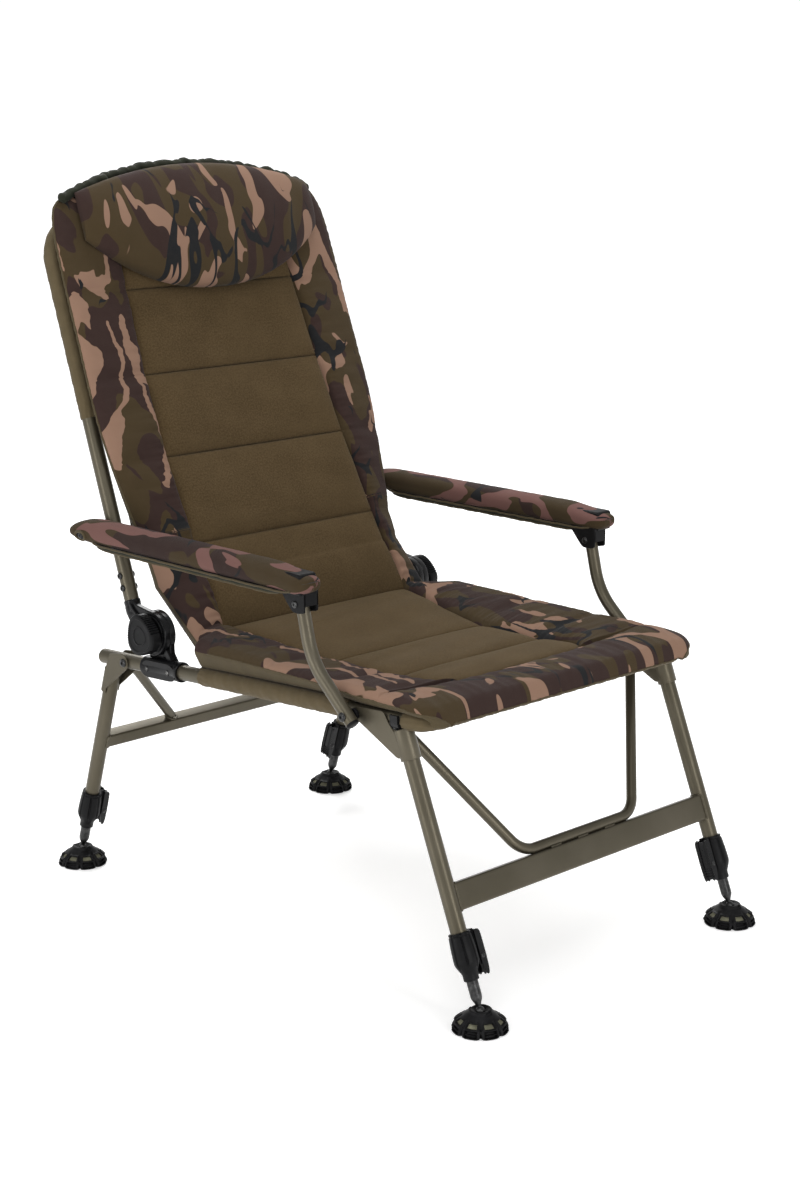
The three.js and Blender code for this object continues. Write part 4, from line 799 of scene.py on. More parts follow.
@dataclass
class Route:
    """A path of straight runs with round bends, evenly spaced where the spacing isn't 0."""

    corners: Sequence[Sequence[float]]
    bend: float = 30.0
    steps: int = 10
    spacing: float = 0.0

    def __post_init__(self) -> None:
        """Works out the path's points."""
        spots = [np.asarray(corner, float) for corner in self.corners]
        path = [spots[0]]
        for before, corner, after in zip(spots, spots[1:], spots[2:]):
            path.extend(self._bend(before, corner, after))
        path.append(spots[-1])
        self.path = np.array(path)
        if self.spacing:
            self._refine()

    def _bend(self, before: Array, corner: Array, after: Array) -> list[Array]:
        """Points of the arc that touches both runs of a corner.

        Args:
            before: the corner before it.
            corner: the corner.
            after: the corner after it.

        Returns:
            The points in order.
        """
        ahead = (corner - before) / np.linalg.norm(corner - before)
        leave = (after - corner) / np.linalg.norm(after - corner)
        turn = math.acos(float(np.clip(ahead @ leave, -1, 1)))
        start = corner - ahead * self.bend * math.tan(turn / 2)
        inward = leave - ahead * math.cos(turn)
        inward = inward / np.linalg.norm(inward)
        angles = turn * np.arange(self.steps + 1) / self.steps
        arcs = [math.sin(a) * ahead + (1 - math.cos(a)) * inward for a in angles]
        return [start + self.bend * arc for arc in arcs]

    def _refine(self) -> None:
        """Spaces the points evenly."""
        arc = self.lengths()
        count = int(arc[-1] / self.spacing) + 1
        even = np.linspace(0, arc[-1], count)
        self.path = np.stack([np.interp(even, arc, self.path[:, k]) for k in range(3)], axis=1)

    def lengths(self) -> Array:
        """Distance along the path of each of its points."""
        legs = np.linalg.norm(np.diff(self.path, axis=0), axis=1)
        return np.concatenate([[0], np.cumsum(legs)])

    def frames(self) -> tuple[Array, Array, Array]:
        """The points, and two directions square to the path at each of them."""
        tangent = np.gradient(self.path, self.lengths(), axis=0)
        tangent /= np.linalg.norm(tangent, axis=1, keepdims=True)
        start, halfway, end = self.path[0], self.path[len(self.path) // 2], self.path[-1]
        plane = np.cross(end - start, halfway - start)
        if np.linalg.norm(plane) < 1e-6:
            plane = np.cross(tangent[0], [0.31, 0.52, 0.8])
        plane = plane / np.linalg.norm(plane)
        normal = np.cross(plane, tangent)
        normal /= np.linalg.norm(normal, axis=1, keepdims=True)
        return self.path, normal, np.cross(tangent, normal)


class Course(Route):
    """A route that follows given points, spaced evenly where a spacing is given."""

    def __init__(self, path: Array, spacing: float = 0.0) -> None:
        """Takes the points as they are, or spaces them evenly."""
        self.path = np.asarray(path, float)
        self.spacing = spacing
        if spacing:
            self._refine()


# Soft pieces


def channel(where: Array, seams: Table) -> Array:
    """Swelling between two seams: a sine of the share of the way, raised to a low power.

    Args:
        where: places along the mattress.
        seams: rows that start with a seam's place.

    Returns:
        Values from 0 at a seam to 1.
    """
    marks = np.array([row[0] for row in seams], float)
    i = np.clip(np.searchsorted(marks, where) - 1, 0, len(marks) - 2)
    share = np.clip((where - marks[i]) / (marks[i + 1] - marks[i]), 0, 1)
    return np.sin(np.pi * share) ** 0.42


def close_rows(station: Array, seams: Table) -> Array:
    """Adds rows close to each seam.

    Args:
        station: places of the rows, whose last 12 mm stay as they are.
        seams: rows that start with a seam's place.

    Returns:
        The places of all rows, in order.
    """
    marks = np.array([row[0] for row in seams], float)
    close = (marks[:, None] + np.array([-4, -2.6, -1.5, -0.7, 0, 0.7, 1.5, 2.6, 4])).ravel()
    close = close[(close > station[0]) & (close < station[-1])]
    merged = np.union1d(np.round(station, 3), np.round(close, 3))
    spaced = (np.diff(merged) > 0.25) | (merged[1:] > station[-1] - 12)
    return merged[np.concatenate([[True], spaced])]


def nearest(where: Array, seams: Table) -> Array:
    """Distance to the nearest seam."""
    marks = np.array([row[0] for row in seams], float)
    return np.abs(where[..., None] - marks).min(axis=-1)


def edge_roll(reach: Array, half: Array, radius: float) -> Array:
    """Share of the thickness that is left near a rounded edge, as on a quarter circle."""
    near = np.clip((reach - (half - radius)) / radius, 0, 1)
    return np.sqrt(np.maximum(1 - near**2, 0))


def pinch(upper: Array, lower: Array, middle: Array, left: Array) -> tuple[Array, Array]:
    """Both sides, with only a share of their distance to the middle left."""
    return middle + (upper - middle) * left, middle + (lower - middle) * left


@dataclass(frozen=True)
class Stretch:
    """Rows of one stretch of mattress, across a quilted panel and a border on each side of it.

    Each row has its place (station), half widths (panel, half) and heights at its seams and edge
    (seam, side). The panel ends at last_seam, and the seed shifts the wrinkles.
    """

    station: Array
    across: Array
    panel: Array
    half: Array
    seam: Array
    side: Array
    under: Array
    seams: Table
    last_seam: float
    seed: float
    sunk: float = 3.0
    swell: float = 12.5
    border_swell: float = 13.0
    edge: float = 15.0

    def heights(self) -> tuple[Array, Array]:
        """Heights of the upper and lower side.

        A channel swells from seam to seam and falls off at the panel's edge. The border rises once
        across its width, with folds and puckers that fade away from the seams.
        """
        across, seed, h = self.across, self.seed, self.half[:, None]
        v, seam, side = self.station[:, None], self.seam[:, None], self.side[:, None]
        reach = np.abs(across)
        puff = channel(self.station, self.seams)[:, None]
        share = np.clip((reach - self.panel[:, None]) / (h - self.panel[:, None]), 0, 1)
        inside = reach <= self.panel[:, None]
        top = np.where(inside, self._panel_top(puff), self._border_top(share))
        beyond = ease((v - self.last_seam) / 2)
        wide = np.clip(reach / h, 0, 1)
        front = seam - self.sunk + self.border_swell * puff * (1 - wide**10)
        waves = (across * 0.13 + v * 0.02 + seed, 0.6), (across * 0.31 + v * 0.06, 0.4)
        front = front + 1.4 * ripple(*waves) * puff
        top = top * (1 - beyond) + (front + (side - seam) * wide**3) * beyond
        return pinch(top, self.under, (top + self.under) / 2, edge_roll(reach, h, self.edge))

    def _panel_top(self, puff: Array) -> Array:
        """Heights of the fleece panel, given the swelling of its channels."""
        v, reach = self.station[:, None], np.abs(self.across)
        waves = (v * 0.045 + reach * 0.008 + self.seed, 0.6), (v * 0.11 + self.across * 0.023, 0.4)
        crown = 1.6 * ripple(*waves)
        stitch = 2.2 * np.exp(-((nearest(self.station, self.seams) / 1.3) ** 2))[:, None]
        scallop = (1 - np.clip(reach / self.panel[:, None], 0, 1) ** 9) ** 0.5
        return self.seam[:, None] - self.sunk - stitch + (self.swell + crown) * puff * scallop

    def _border_top(self, share: Array) -> Array:
        """Heights of the border, given the share of its width."""
        v, across, seed = self.station[:, None], self.across, self.seed
        seam, side = self.seam[:, None], self.side[:, None]
        out, inward = np.abs(across) - self.panel[:, None], self.half[:, None] - np.abs(across)
        rise = np.sin(np.pi * share**0.5) ** 0.8
        near_seam = nearest(self.station, self.seams)[:, None]
        fold = np.exp(-((near_seam / 13) ** 2)) * 5.5 * np.sin(np.pi * share) ** 0.5
        waves = (v * 0.62 + seed + 0.02 * across, 0.65), (v * 0.29 + seed, 0.5)
        pucker = np.exp(-out / 26) * ripple(*waves) * 1.5
        waves = (v * 0.42 + seed * 2, 0.6), (v * 0.2 + across * 0.01, 0.5)
        edge = np.exp(-inward / 20) * ripple(*waves) * 0.5
        waves = (v * 0.11 + out * 0.05 + seed, 0.6), (v * 0.21 - out * 0.035 + seed, 0.45)
        drape = ripple(*waves) * 1.3 * rise
        top = seam - self.sunk + (side + self.sunk - seam) * share + self.border_swell * rise
        return top - fold + (pucker + edge) * np.minimum(share * 9, 1) + drape


@dataclass(frozen=True)
class Mattress:
    """Sizes that the mattress' stretches on the seat, the hip and the back share.

    A seam's row is its place, its height and the half width of the panel there. Any other table has
    rows of a place and a value. The underside rests on the sleeves at the height in rest, and hip
    holds the reaches between which the seat widens.
    """

    seat_seams: Table = (
        (67, 57, 200), (282, 24, 166), (415, 17, 164), (517, 19, 163), (624, 20, 160),
    )
    seat_sides: Table = ((67, 60), (207, 53), (342, 44), (471, 37), (560, 34), (624, 22))
    seat_unders: Table = ((67, 28), (275, 27), (420, 20), (470, 12), (580, 9), (624, 5))
    back_seams: Table = (
        (-17, 100, 200), (125, 77, 196), (271, 54, 192), (409, 40, 186), (551, 33, 178),
        (701, 31, 170),
    )
    back_sides: Table = ((-17, 66), (106, 58), (301, 44), (480, 36), (701, 30))
    back_widths: Table = ((-17, 254), (106, 257), (200, 274), (301, 289), (500, 291), (701, 288))
    rest: float = 14.6
    panel_end: float = 517
    front: float = 624
    corner: float = 38
    half: float = 297
    hip_half: float = 254
    hip: Pair = (92, 114)
    columns: int = 44

    def across(self, panel: Array, half: Array) -> Array:
        """Places across the mattress, closer to each other near its edges.

        Args:
            panel: half width of the panel at each row.
            half: half width of the mattress at each row.

        Returns:
            A row of places for each row.
        """
        inner = np.linspace(0, 1, self.columns)
        middle = np.concatenate([-inner[::-1][:-1], inner])[None] * panel[:, None]
        outer = (half - panel)[:, None] * np.sin(inner[1:] * np.pi / 2)[None]
        outer = panel[:, None] + outer
        return np.concatenate([-outer[:, ::-1], middle, outer], axis=1)

    def seat_half(self, reach: Array) -> Array:
        """Half width of the seat: narrow at the hip, and rounded at the front corners."""
        near_hinge = ease((self.hip[1] - reach) / (self.hip[1] - self.hip[0]))
        near_front = np.clip(reach - (self.front - self.corner), 0, self.corner)
        rounding = self.corner - np.sqrt(np.maximum(self.corner**2 - near_front**2, 0))
        return self.half - rounding - near_hinge * (self.half - self.hip_half)

    def seat_under(self, across: Array, station: Array) -> Array:
        """Underside of the seat: it sags with the sling and rests on the sleeves of the rails.

        Args:
            across: places across it, by row and column.
            station: place along it of each row.

        Returns:
            Heights, by row and column.
        """
        seam = smooth(station, self.seat_seams, 1)[:, None]
        panel = smooth(station, self.seat_seams, 2)[:, None]
        half = self.seat_half(station)[:, None]
        sag = np.minimum(seam - 30, self.rest)
        rise = np.clip((station[:, None] - self.panel_end) / 66, 0, 1)
        middle = sag + (self.rest - sag) * rise
        sleeve = 0.86
        share = np.clip((np.abs(across) - panel) / (sleeve * (half - panel)), 0, 1)
        level = middle + (self.rest - middle) * ease(share)
        outer = smooth(station, self.seat_unders)[:, None]
        last = np.clip((np.abs(across) - panel) / (half - panel), 0, 1)
        return level + (outer - self.rest) * ease((last - sleeve) / 0.14)

    def seat(self, station: Array, last_seam: float) -> Stretch:
        """The seat's stretch, from its rows' places and the place where the panel ends."""
        turned = np.clip(station - (self.panel_end - self.corner), 0, self.corner - 0.1)
        corner = self.corner - np.sqrt(self.corner**2 - turned**2)
        narrower = corner * (1 - ease((station - self.panel_end) / 60))
        panel = smooth(station, self.seat_seams, 2) - narrower
        half = self.seat_half(station)
        across = self.across(panel, half)
        seam, side = smooth(station, self.seat_seams, 1), smooth(station, self.seat_sides)
        under = self.seat_under(across, station)
        return Stretch(
            station, across, panel, half, seam, side, under, self.seat_seams, last_seam, 0.7
        )

    def back(self, station: Array, half: Array) -> Stretch:
        """The back's stretch, from its rows' places and half widths."""
        panel = smooth(station, self.back_seams, 2)
        across = self.across(panel, half)
        seam, side = smooth(station, self.back_seams, 1), smooth(station, self.back_sides)
        under = self.rest + 5 * ease((np.abs(across) - 262) / 30)
        return Stretch(station, across, panel, half, seam, side, under, self.back_seams, 2000, 2.1)


QUILT = Mattress()


def seat_point(x: Array, reach: Array, height: Array) -> Array:
    """Points in the seat's frame, from places across and towards the front and heights."""
    return np.stack([x, -reach, height + RAIL_Z], axis=-1)


def back_point(x: Array, along: Array, depth: Array) -> Array:
    """Points in the back's frame, from places across and upwards and depths towards the sitter."""
    return np.stack([x, TUBE_Y - depth, along], axis=-1)


def by_column(rows: Array, across: Array) -> Array:
    """The rows' values, repeated for each column."""
    return np.repeat(rows[:, None], across.shape[1], axis=1)


def close_ring(top: Array, bottom: Array) -> Array:
    """Rings over the top and back underneath, from two grids with the same columns."""
    return np.concatenate([top, bottom[:, ::-1][:, 1:-1]], axis=1)


def cloth_map(across: Array, upper: Array, station: Array) -> Array:
    """Coordinates on the cloth: the arc from the middle, the place along, and the side.

    Args:
        across: places across, by row and column.
        upper: heights of the upper side.
        station: place along of each row.

    Returns:
        A point for each point of the ring.
    """
    v = by_column(station, across)
    step = np.hypot(np.diff(across, axis=1), np.diff(upper, axis=1))
    arc = np.concatenate([np.zeros((len(station), 1)), np.cumsum(step, axis=1)], axis=1)
    arc = arc - arc[:, arc.shape[1] // 2][:, None]
    top = np.stack([arc, v, np.zeros_like(v)], axis=-1)
    low = np.stack([across, v, np.full_like(v, 300)], axis=-1)
    return close_ring(top, low)


def panel_flags(across: Array, panel: Array, held: Array) -> Array:
    """Marks the points of the rings that lie on the fleece, in the rows that cross it."""
    on_top = (np.abs(across) <= panel[:, None] + 0.01) & held[:, None]
    return close_ring(on_top, np.zeros_like(on_top))


@dataclass(frozen=True)
class Piping:
    """A round binding sewn along a line, gathered into small folds."""

    path: Array
    radius: float
    pleat: float
    rate: float
    finish: Look = Look.BINDING

    def sew(self, shell: Shell) -> None:
        """Adds the binding to a shell."""
        course = Course(self.path, 1.5)
        arc = course.lengths()[:, None] * self.rate
        angle = 2 * np.pi * np.arange(14) / 14
        waves = (arc + 0.9 * np.sin(angle), 0.6), (arc * 0.53 - 1.4 * np.cos(angle), 0.45)
        place = course.lengths()[:, None]
        end = np.minimum(place, place[-1] - place)
        radius = (self.radius + self.pleat * ripple(*waves)) * np.minimum(0.3 + end / 8, 1)
        shell.tube(course, radius, self.finish, sides=14, cloth=True)


@dataclass(frozen=True)
class SoftPiece:
    """One closed stretch of mattress in its two fabrics, with a plain underside."""

    name: str
    place: Place
    rings: Array
    cloth: Array
    panel: Array

    def build(self, *pipings: Piping) -> bpy.types.Object:
        """Makes the object with its pipings."""
        shell = Shell(self.place)
        shell.grid(self.rings, Look.CAMO, cloth=self.cloth)
        shell.finishes += [Look.FLEECE, Look.BINDING]
        columns = self.rings.shape[1]
        quads = self.panel[:-1] & self.panel[1:]
        quads = quads & np.roll(quads, -1, axis=1)
        below = np.arange(columns) >= columns // 2
        kinds = np.where(quads, 1, np.where(below, 2, 0)).ravel()
        shell.slots[: len(kinds)] = kinds.tolist()
        for piping in pipings:
            piping.sew(shell)
        return shell.build(self.name, SOFT_CREASE)

    def outline(self) -> Array:
        """The line round the sides and the last row, between the upper side and the underside."""
        half = self.rings.shape[1] // 2
        sides = self.rings[:-1, 0], self.rings[-1, : half + 1], self.rings[-2::-1, half]
        return np.concatenate(sides)


@dataclass(frozen=True)
class SeatCushion:
    """The stretch on the seat, with its border wrapped over the front."""

    start: float = 143
    bar: float = 598
    wrap: float = 14.9
    lip: float = 8

    def build(self) -> None:
        """Makes the stretch, whose last rows close up to a round edge."""
        even = np.linspace(self.start, 596, 184), np.linspace(597, 612, 16)
        last = 612 + 12 * np.sin(np.linspace(0, 1, 19)[1:] * np.pi / 2)
        station = close_rows(np.concatenate([*even, last]), QUILT.seat_seams[:-1])
        stretch = QUILT.seat(station, QUILT.panel_end)
        across = stretch.across
        upper, lower = stretch.heights()
        beyond = np.clip(station - self.bar, 0, self.wrap)
        round_bar = np.sqrt(np.maximum(self.wrap**2 - beyond**2, 0))
        drop = np.where(station < self.bar, 0, QUILT.rest - round_bar)
        drop = drop + self.lip * ease((station - 612.5) / 3)
        waves = (across * 0.16, 0.6), (across * 0.37 + 1, 0.5)
        pleats = 0.5 * ripple(*waves) * ease((station - 606) / 8)[:, None]
        at_corner = 1 - 0.35 * ease((np.abs(across) - 235) / 45)
        lower = lower - drop[:, None] * at_corner + pleats
        front = np.clip((station - 607) / 17, 0, 1)[:, None]
        middle = upper + (lower - upper) * (0.5 + 0.28 * front)
        upper, lower = pinch(upper, lower, middle, np.sqrt(np.maximum(1 - front**2.4, 0.0)))
        rows = by_column(station, across)
        rings = close_ring(seat_point(across, rows, upper), seat_point(across, rows, lower))
        flags = panel_flags(across, stretch.panel, station <= QUILT.panel_end + 0.01)
        cloth = cloth_map(across, upper, station)
        piece = SoftPiece("seat_mattress", SEAT, rings, cloth, flags)
        made = piece.build(Piping(piece.outline(), 1.3, 0.35, 0.5))
        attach(made, "seat")
        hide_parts("seat_cushion")


@dataclass(frozen=True)
class BackCushion:
    """The stretch on the back, up to its arched top edge."""

    start: float = 148
    turn: float = 551
    top: float = 701
    arch: float = 55
    panel_end: float = 640

    def build(self) -> None:
        """Makes the stretch, with a gathered binding over its crest."""
        rise = self.top - self.turn
        high = self.turn + rise * np.sin(np.linspace(0, 1, 70)[1:] * np.pi / 2)
        even = np.linspace(self.start, self.turn, 150)
        station = close_rows(np.concatenate([even, high]), QUILT.back_seams[:-1])
        share = np.clip((station - self.turn) / rise, 0, 1)
        half = smooth(station, QUILT.back_widths) * (1 - 0.06 * share**6)
        stretch = QUILT.back(station, half)
        across = stretch.across
        upper, lower = stretch.heights()
        beyond = ease((station - self.panel_end) / (self.top - self.panel_end))[:, None]
        crest = 30 + 9 * (1 - (across / half[:, None]) ** 8)
        upper = upper * (1 - beyond) + np.minimum(upper, crest) * beyond
        thin = np.sqrt(np.maximum(1 - share**5, 0))[:, None]
        upper, lower = pinch(upper, lower, (upper + lower) / 2, thin)
        bow = 1 - np.minimum(np.abs(across) / half[:, None], 1) ** 2.2
        arch = (self.top + self.arch * bow - self.turn) * share[:, None] + self.turn
        waves = (across * 0.33, 0.6), (across * 0.13 + 1, 0.5)
        ruffle = ripple(*waves) * 1.8 * (share**8)[:, None]
        along = np.where(station[:, None] > self.turn, arch + ruffle, station[:, None])
        rings = close_ring(back_point(across, along, upper), back_point(across, along, lower))
        cloth = cloth_map(across, upper, station)
        cloth[..., 1] = rings[..., 2]
        flags = panel_flags(across, stretch.panel, station <= self.panel_end + 0.01)
        piece = SoftPiece("back_mattress", BACK, rings, cloth, flags)
        edge = piece.outline()
        at_top = (edge[:, 2] > 690) & (np.abs(edge[:, 0]) < 266)
        line = edge[at_top] + np.array([0, -8.0, 0.5])
        line[:, 2] += 1.5 * ripple((line[:, 0] * 0.11, 0.6), (line[:, 0] * 0.19, 0.5))
        crest_piping = Piping(line, 8.2, 1.1, 0.19, Look.RUFFLE)
        made = piece.build(Piping(edge, 1.9, 0.4, 0.45), crest_piping)
        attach(made, "back")
        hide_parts("back_cushion")


@dataclass(frozen=True)
class HipCushion:
    """The stretch that bends between seat and back."""

    seat_rows: tuple[float, float, int] = (147, 67, 36)
    back_rows: tuple[float, float, int] = (70, 152, 34)
    between: int = 32
    swell: float = 7

    def build(self) -> None:
        """Makes the stretch in the seat's frame, with rows that bend from the seat over to the
        back.
        """
        seat_station, back_station = np.linspace(*self.seat_rows), np.linspace(*self.back_rows)
        seat = QUILT.seat(seat_station, 2000)
        back = QUILT.back(back_station, smooth(back_station, QUILT.back_widths))
        rows = by_column(seat_station, seat.across)
        seat_sides = [seat_point(seat.across, rows, level) for level in seat.heights()]
        turn = Place(0, 0, BACK.lean - SEAT.lean)
        rows = by_column(back_station, back.across)
        back_sides = [
            turn.out(back_point(back.across, rows, level)) / METRES for level in back.heights()
        ]
        sides = []
        for low, high, swell in zip(seat_sides, back_sides, (self.swell, 0)):
            steps = np.linspace(0, 1, self.between + 2)[1:-1]
            bend = [self._between(low[-1], high[0], float(share), swell)[None] for share in steps]
            sides.append(np.concatenate([low, *bend, high]))
        top, low = sides
        arc = np.linalg.norm(np.diff(top[:, top.shape[1] // 2], axis=0), axis=1)
        along = self.seat_rows[0] - np.concatenate([[0], np.cumsum(arc)])
        across = top[..., 0]
        cloth = cloth_map(across, np.zeros_like(across), along)
        bend = np.linspace(seat.panel[-1], back.panel[0], self.between + 2)[1:-1]
        panel = np.concatenate([seat.panel, bend, back.panel])
        flags = panel_flags(across, panel, np.ones(len(top), bool))
        made = SoftPiece("hip_mattress", SEAT, close_ring(top, low), cloth, flags).build()
        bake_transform(made)
        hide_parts("hip_cushion")

    @staticmethod
    def _between(low: Array, high: Array, share: float, puff: float) -> Array:
        """A row between two others, swelled out square to the line that joins them.

        Args:
            low: points of the last row on the seat.
            high: points of the first row on the back.
            share: share of the way from the one to the other.
            puff: how far the middle swells out.

        Returns:
            The row's points.
        """
        line, x = high - low, low[:, :1]
        size = np.linalg.norm(line, axis=1, keepdims=True)
        out = np.stack([np.zeros(len(line)), -line[:, 2], line[:, 1]], axis=1)
        out = out / np.maximum(size, 1)
        swell = puff * math.sin(math.pi * share) ** 0.5
        edge = 1 - np.clip(np.abs(x) / QUILT.hip_half, 0, 1) ** 6
        border = ease((np.abs(x) - 196) / 10) * min(puff, 1.0) * math.sin(math.pi * share) ** 0.3
        waves = (np.full((1, 1), share * 31.0) + x * 0.03, 0.6), (share * 17 + x * 0.05, 0.45)
        return low + line * share + out * (swell + 2.4 * border * ripple(*waves)) * edge


@dataclass(frozen=True)
class Pillow:
    """The crescent head pillow."""

    half: float = 245
    bottom: Pair = (541, 633)
    top: Pair = (751, 711)
    depth: Pair = (45, 92)
    columns: int = 121
    rows: int = 41

    def build(self) -> None:
        """Makes the pillow: full in the middle, with shallow dents and gathers at its edges."""
        x = self.half * np.sin(np.linspace(-1, 1, self.columns) * np.pi / 2)
        bow = (x / self.half) ** 2
        bottom = self.bottom[0] + (self.bottom[1] - self.bottom[0]) * bow**1.15
        top = self.top[0] + (self.top[1] - self.top[0]) * bow
        t = np.linspace(0, np.pi, self.rows)
        place = bottom[:, None] + (top - bottom)[:, None] * ((1 - np.cos(t)) / 2)[None]
        full = np.sqrt(np.maximum(1 - bow**1.6 * 0.97, 0))[:, None]
        bulge = np.sin(t)[None] ** np.where(t < np.pi / 2, 0.6, 0.85)[None]
        rows = by_column(x, place)
        waves = (x[:, None] * 0.05 + t * 1.3, 0.6), (x[:, None] * 0.11 - t * 2.0, 0.4)
        dent = ripple(*waves) * 1.6 * bulge
        gather = ripple((x[:, None] * 0.36 + 0.4, 0.7), (x[:, None] * 0.19, 0.5)) * 1.3
        gather = gather * (np.exp(-t / 0.28) + np.exp(-(np.pi - t) / 0.28))[None] * bulge**0.3
        edge, crown = self.depth
        front = edge + (crown - edge) * bulge * full + dent + gather
        behind = edge - 3.6 * bulge * full
        rings = close_ring(back_point(rows, place, front), back_point(rows, place, behind))
        arc = close_ring(place, place)
        cloth = np.stack([rings[..., 0] * 1.05, arc, np.full_like(arc, 120)], axis=-1)
        shell = Shell(BACK)
        shell.grid(rings[:, ::-1], Look.CAMO_PILLOW, cloth=cloth[:, ::-1])
        made = shell.dress("pillow", "back", "head_pillow", SOFT_CREASE)


@dataclass(frozen=True)
class Sleeve:
    """A sleeve round a tube, with wrinkles that gather at its ends."""

    corners: tuple[Triple, ...]
    bend: float
    seed: float
    radius: float = 13.7

    def sew(self, shell: Shell) -> None:
        """Adds the sleeve to a shell."""
        route = Route(self.corners, self.bend, 14, spacing=3.0)
        arc = route.lengths()[:, None]
        angle = 2 * np.pi * np.arange(40) / 40
        end = np.minimum(arc, arc[-1] - arc)
        folds = np.sin(11 * angle + 1.7 * np.sin(arc * 0.11 + self.seed))
        gather = np.exp(-end / 22) * 1.1 * folds
        waves = (arc * 0.19 + 3 * np.sin(angle + self.seed), 0.6), (arc * 0.41 - 2 * angle, 0.4)
        radius = self.radius + gather * 0.6 + 0.45 * ripple(*waves) - 0.9 * np.exp(-end / 6)
        shell.tube(route, radius, Look.SLING, sides=40, cloth=True)


@dataclass(frozen=True)
class Sheet:
    """A thin closed sheet that is stretched between sleeves."""

    name: str
    place: Place
    point: Callable[..., Array]
    across: Array
    rows: Array
    level: Array
    sleeves: bpy.types.Object
    thickness: float = 1.3

    def build(self) -> None:
        """Makes the sheet, and states the flat size and area measured on its upper side."""
        upper = self.point(self.across, self.rows, self.level)
        lower = self.point(self.across, self.rows, self.level - self.thickness)
        rings = np.concatenate([upper, lower[:, ::-1]], axis=1)
        rows = np.concatenate([self.rows, self.rows[:, ::-1]], axis=1)
        shell = Shell(self.place)
        flat = np.stack([rings[..., 0], rows, 0 * rows], axis=-1)
        shell.grid(rings, Look.SLING, cloth=flat)
        made = shell.build(self.name, SLEEVE_CREASE)
        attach(made, self.place.body)
        steps = [np.diff(upper, axis=axis) for axis in (0, 1)]
        faces = np.linalg.norm(np.cross(steps[0][:, :-1], steps[1][:-1]), axis=-1)
        area = faces.sum() * METRES**2
        width = float(np.ptp(self.across)) * METRES
        middle = np.diff(upper[:, upper.shape[1] // 2], axis=0)
        length = float(np.linalg.norm(middle, axis=1).sum()) * METRES
        cut = (round(width, 3), round(length, 3))
        whole = min(round(float(area), 4), cut[0] * cut[1])
        LOG.info("%s: cut %.3f by %.3f m, %.3f square metres", self.name, *cut, area)


@dataclass(frozen=True)
class Slings:
    """The slings of the seat and the back, with their sleeves."""

    seat_bend: float = 34
    back_bend: float = 65
    columns: int = 61

    def seat(self) -> None:
        """Makes the sling under the seat mattress and its sleeves round the rails."""
        shell = Shell(SEAT)
        for side in (-1, 1):
            corners = (side * RAIL, -450, RAIL_Z), (side * RAIL, -115, RAIL_Z)
            Sleeve(corners, 30, side).sew(shell)
        left, right = (-RAIL, -FRONT_BAR, RAIL_Z), (RAIL, -FRONT_BAR, RAIL_Z)
        corners = (-RAIL, -563, RAIL_Z), left, right, (RAIL, -563, RAIL_Z)
        Sleeve(corners, self.seat_bend, 0.4).sew(shell)
        made = shell.dress("seat_sleeves", "seat", "seat_sling", SLEEVE_CREASE)
        station = np.linspace(60, 596, 90)
        half = np.where((station > 115) & (station < 450), RAIL, 273.0)
        half = np.where(station < 115, QUILT.seat_half(station) - 7, half)
        half = np.where(station > 583, 236.0, half)
        across = np.linspace(-1, 1, self.columns)[None] * half[:, None]
        level = np.minimum(QUILT.seat_under(across, station), QUILT.rest) - 1.0
        rows = by_column(station, across)
        Sheet("seat_sling_cloth", SEAT, seat_point, across, rows, level, made).build()

    def back(self) -> None:
        """Makes the sling behind the back mattress and its sleeve round the back frame."""
        shell = Shell(BACK)
        low, high = 357, BACK_BAR
        corners = (-RAIL, TUBE_Y, low), (-RAIL, TUBE_Y, high), (RAIL, TUBE_Y, high)
        Sleeve((*corners, (RAIL, TUBE_Y, low)), self.back_bend, 1.1).sew(shell)
        made = shell.dress("back_sleeve", "back", "back_sling", SLEEVE_CREASE)
        start = high - self.back_bend
        station = np.concatenate([np.linspace(130, start, 70), np.linspace(start, high, 12)[1:]])
        turned = np.maximum(self.back_bend**2 - np.maximum(station - start, 0) ** 2, 0)
        inset = RAIL - self.back_bend + np.sqrt(turned)
        half = np.where(station < low, 262.0, inset)
        across = np.linspace(-1, 1, self.columns)[None] * half[:, None]
        rows = by_column(station, across)
        level = 13.6 + 0.25 * ripple((rows * 0.05 + across * 0.02, 0.7), (rows * 0.13, 0.3))
        Sheet("back_sling_cloth", BACK, back_point, across, rows, level, made).build()


# Hard pieces


def rounded(outline: Sequence[Pair], radius: float, steps: int = 5) -> list[Pair]:
    """An outline with its corners rounded off by parabolas.

    Args:
        outline: corners of a closed outline.
        radius: where each rounding starts, on sides that are long enough.
        steps: points in each rounded corner, less one.

    Returns:
        The new outline.
    """
    spots = np.asarray(outline, float)
    result = []
    for before, corner, after in zip(np.roll(spots, 1, 0), spots, np.roll(spots, -1, 0)):
        legs = [before - corner, after - corner]
        long = [np.linalg.norm(leg) for leg in legs]
        start, end = [corner + leg * (min(radius, 0.48 * d) / d) for leg, d in zip(legs, long)]
        for t in np.linspace(0, 1, steps + 1):
            result.append(tuple((1 - t) ** 2 * start + 2 * t * (1 - t) * corner + t**2 * end))
    return result


def band(value: Array, low: float, high: float, soft: float) -> Array:
    """A mask that is 1 between two values and falls to 0 over a width inside each of them."""
    return np.clip((value - low) / soft, 0, 1) * np.clip((high - value) / soft, 0, 1)


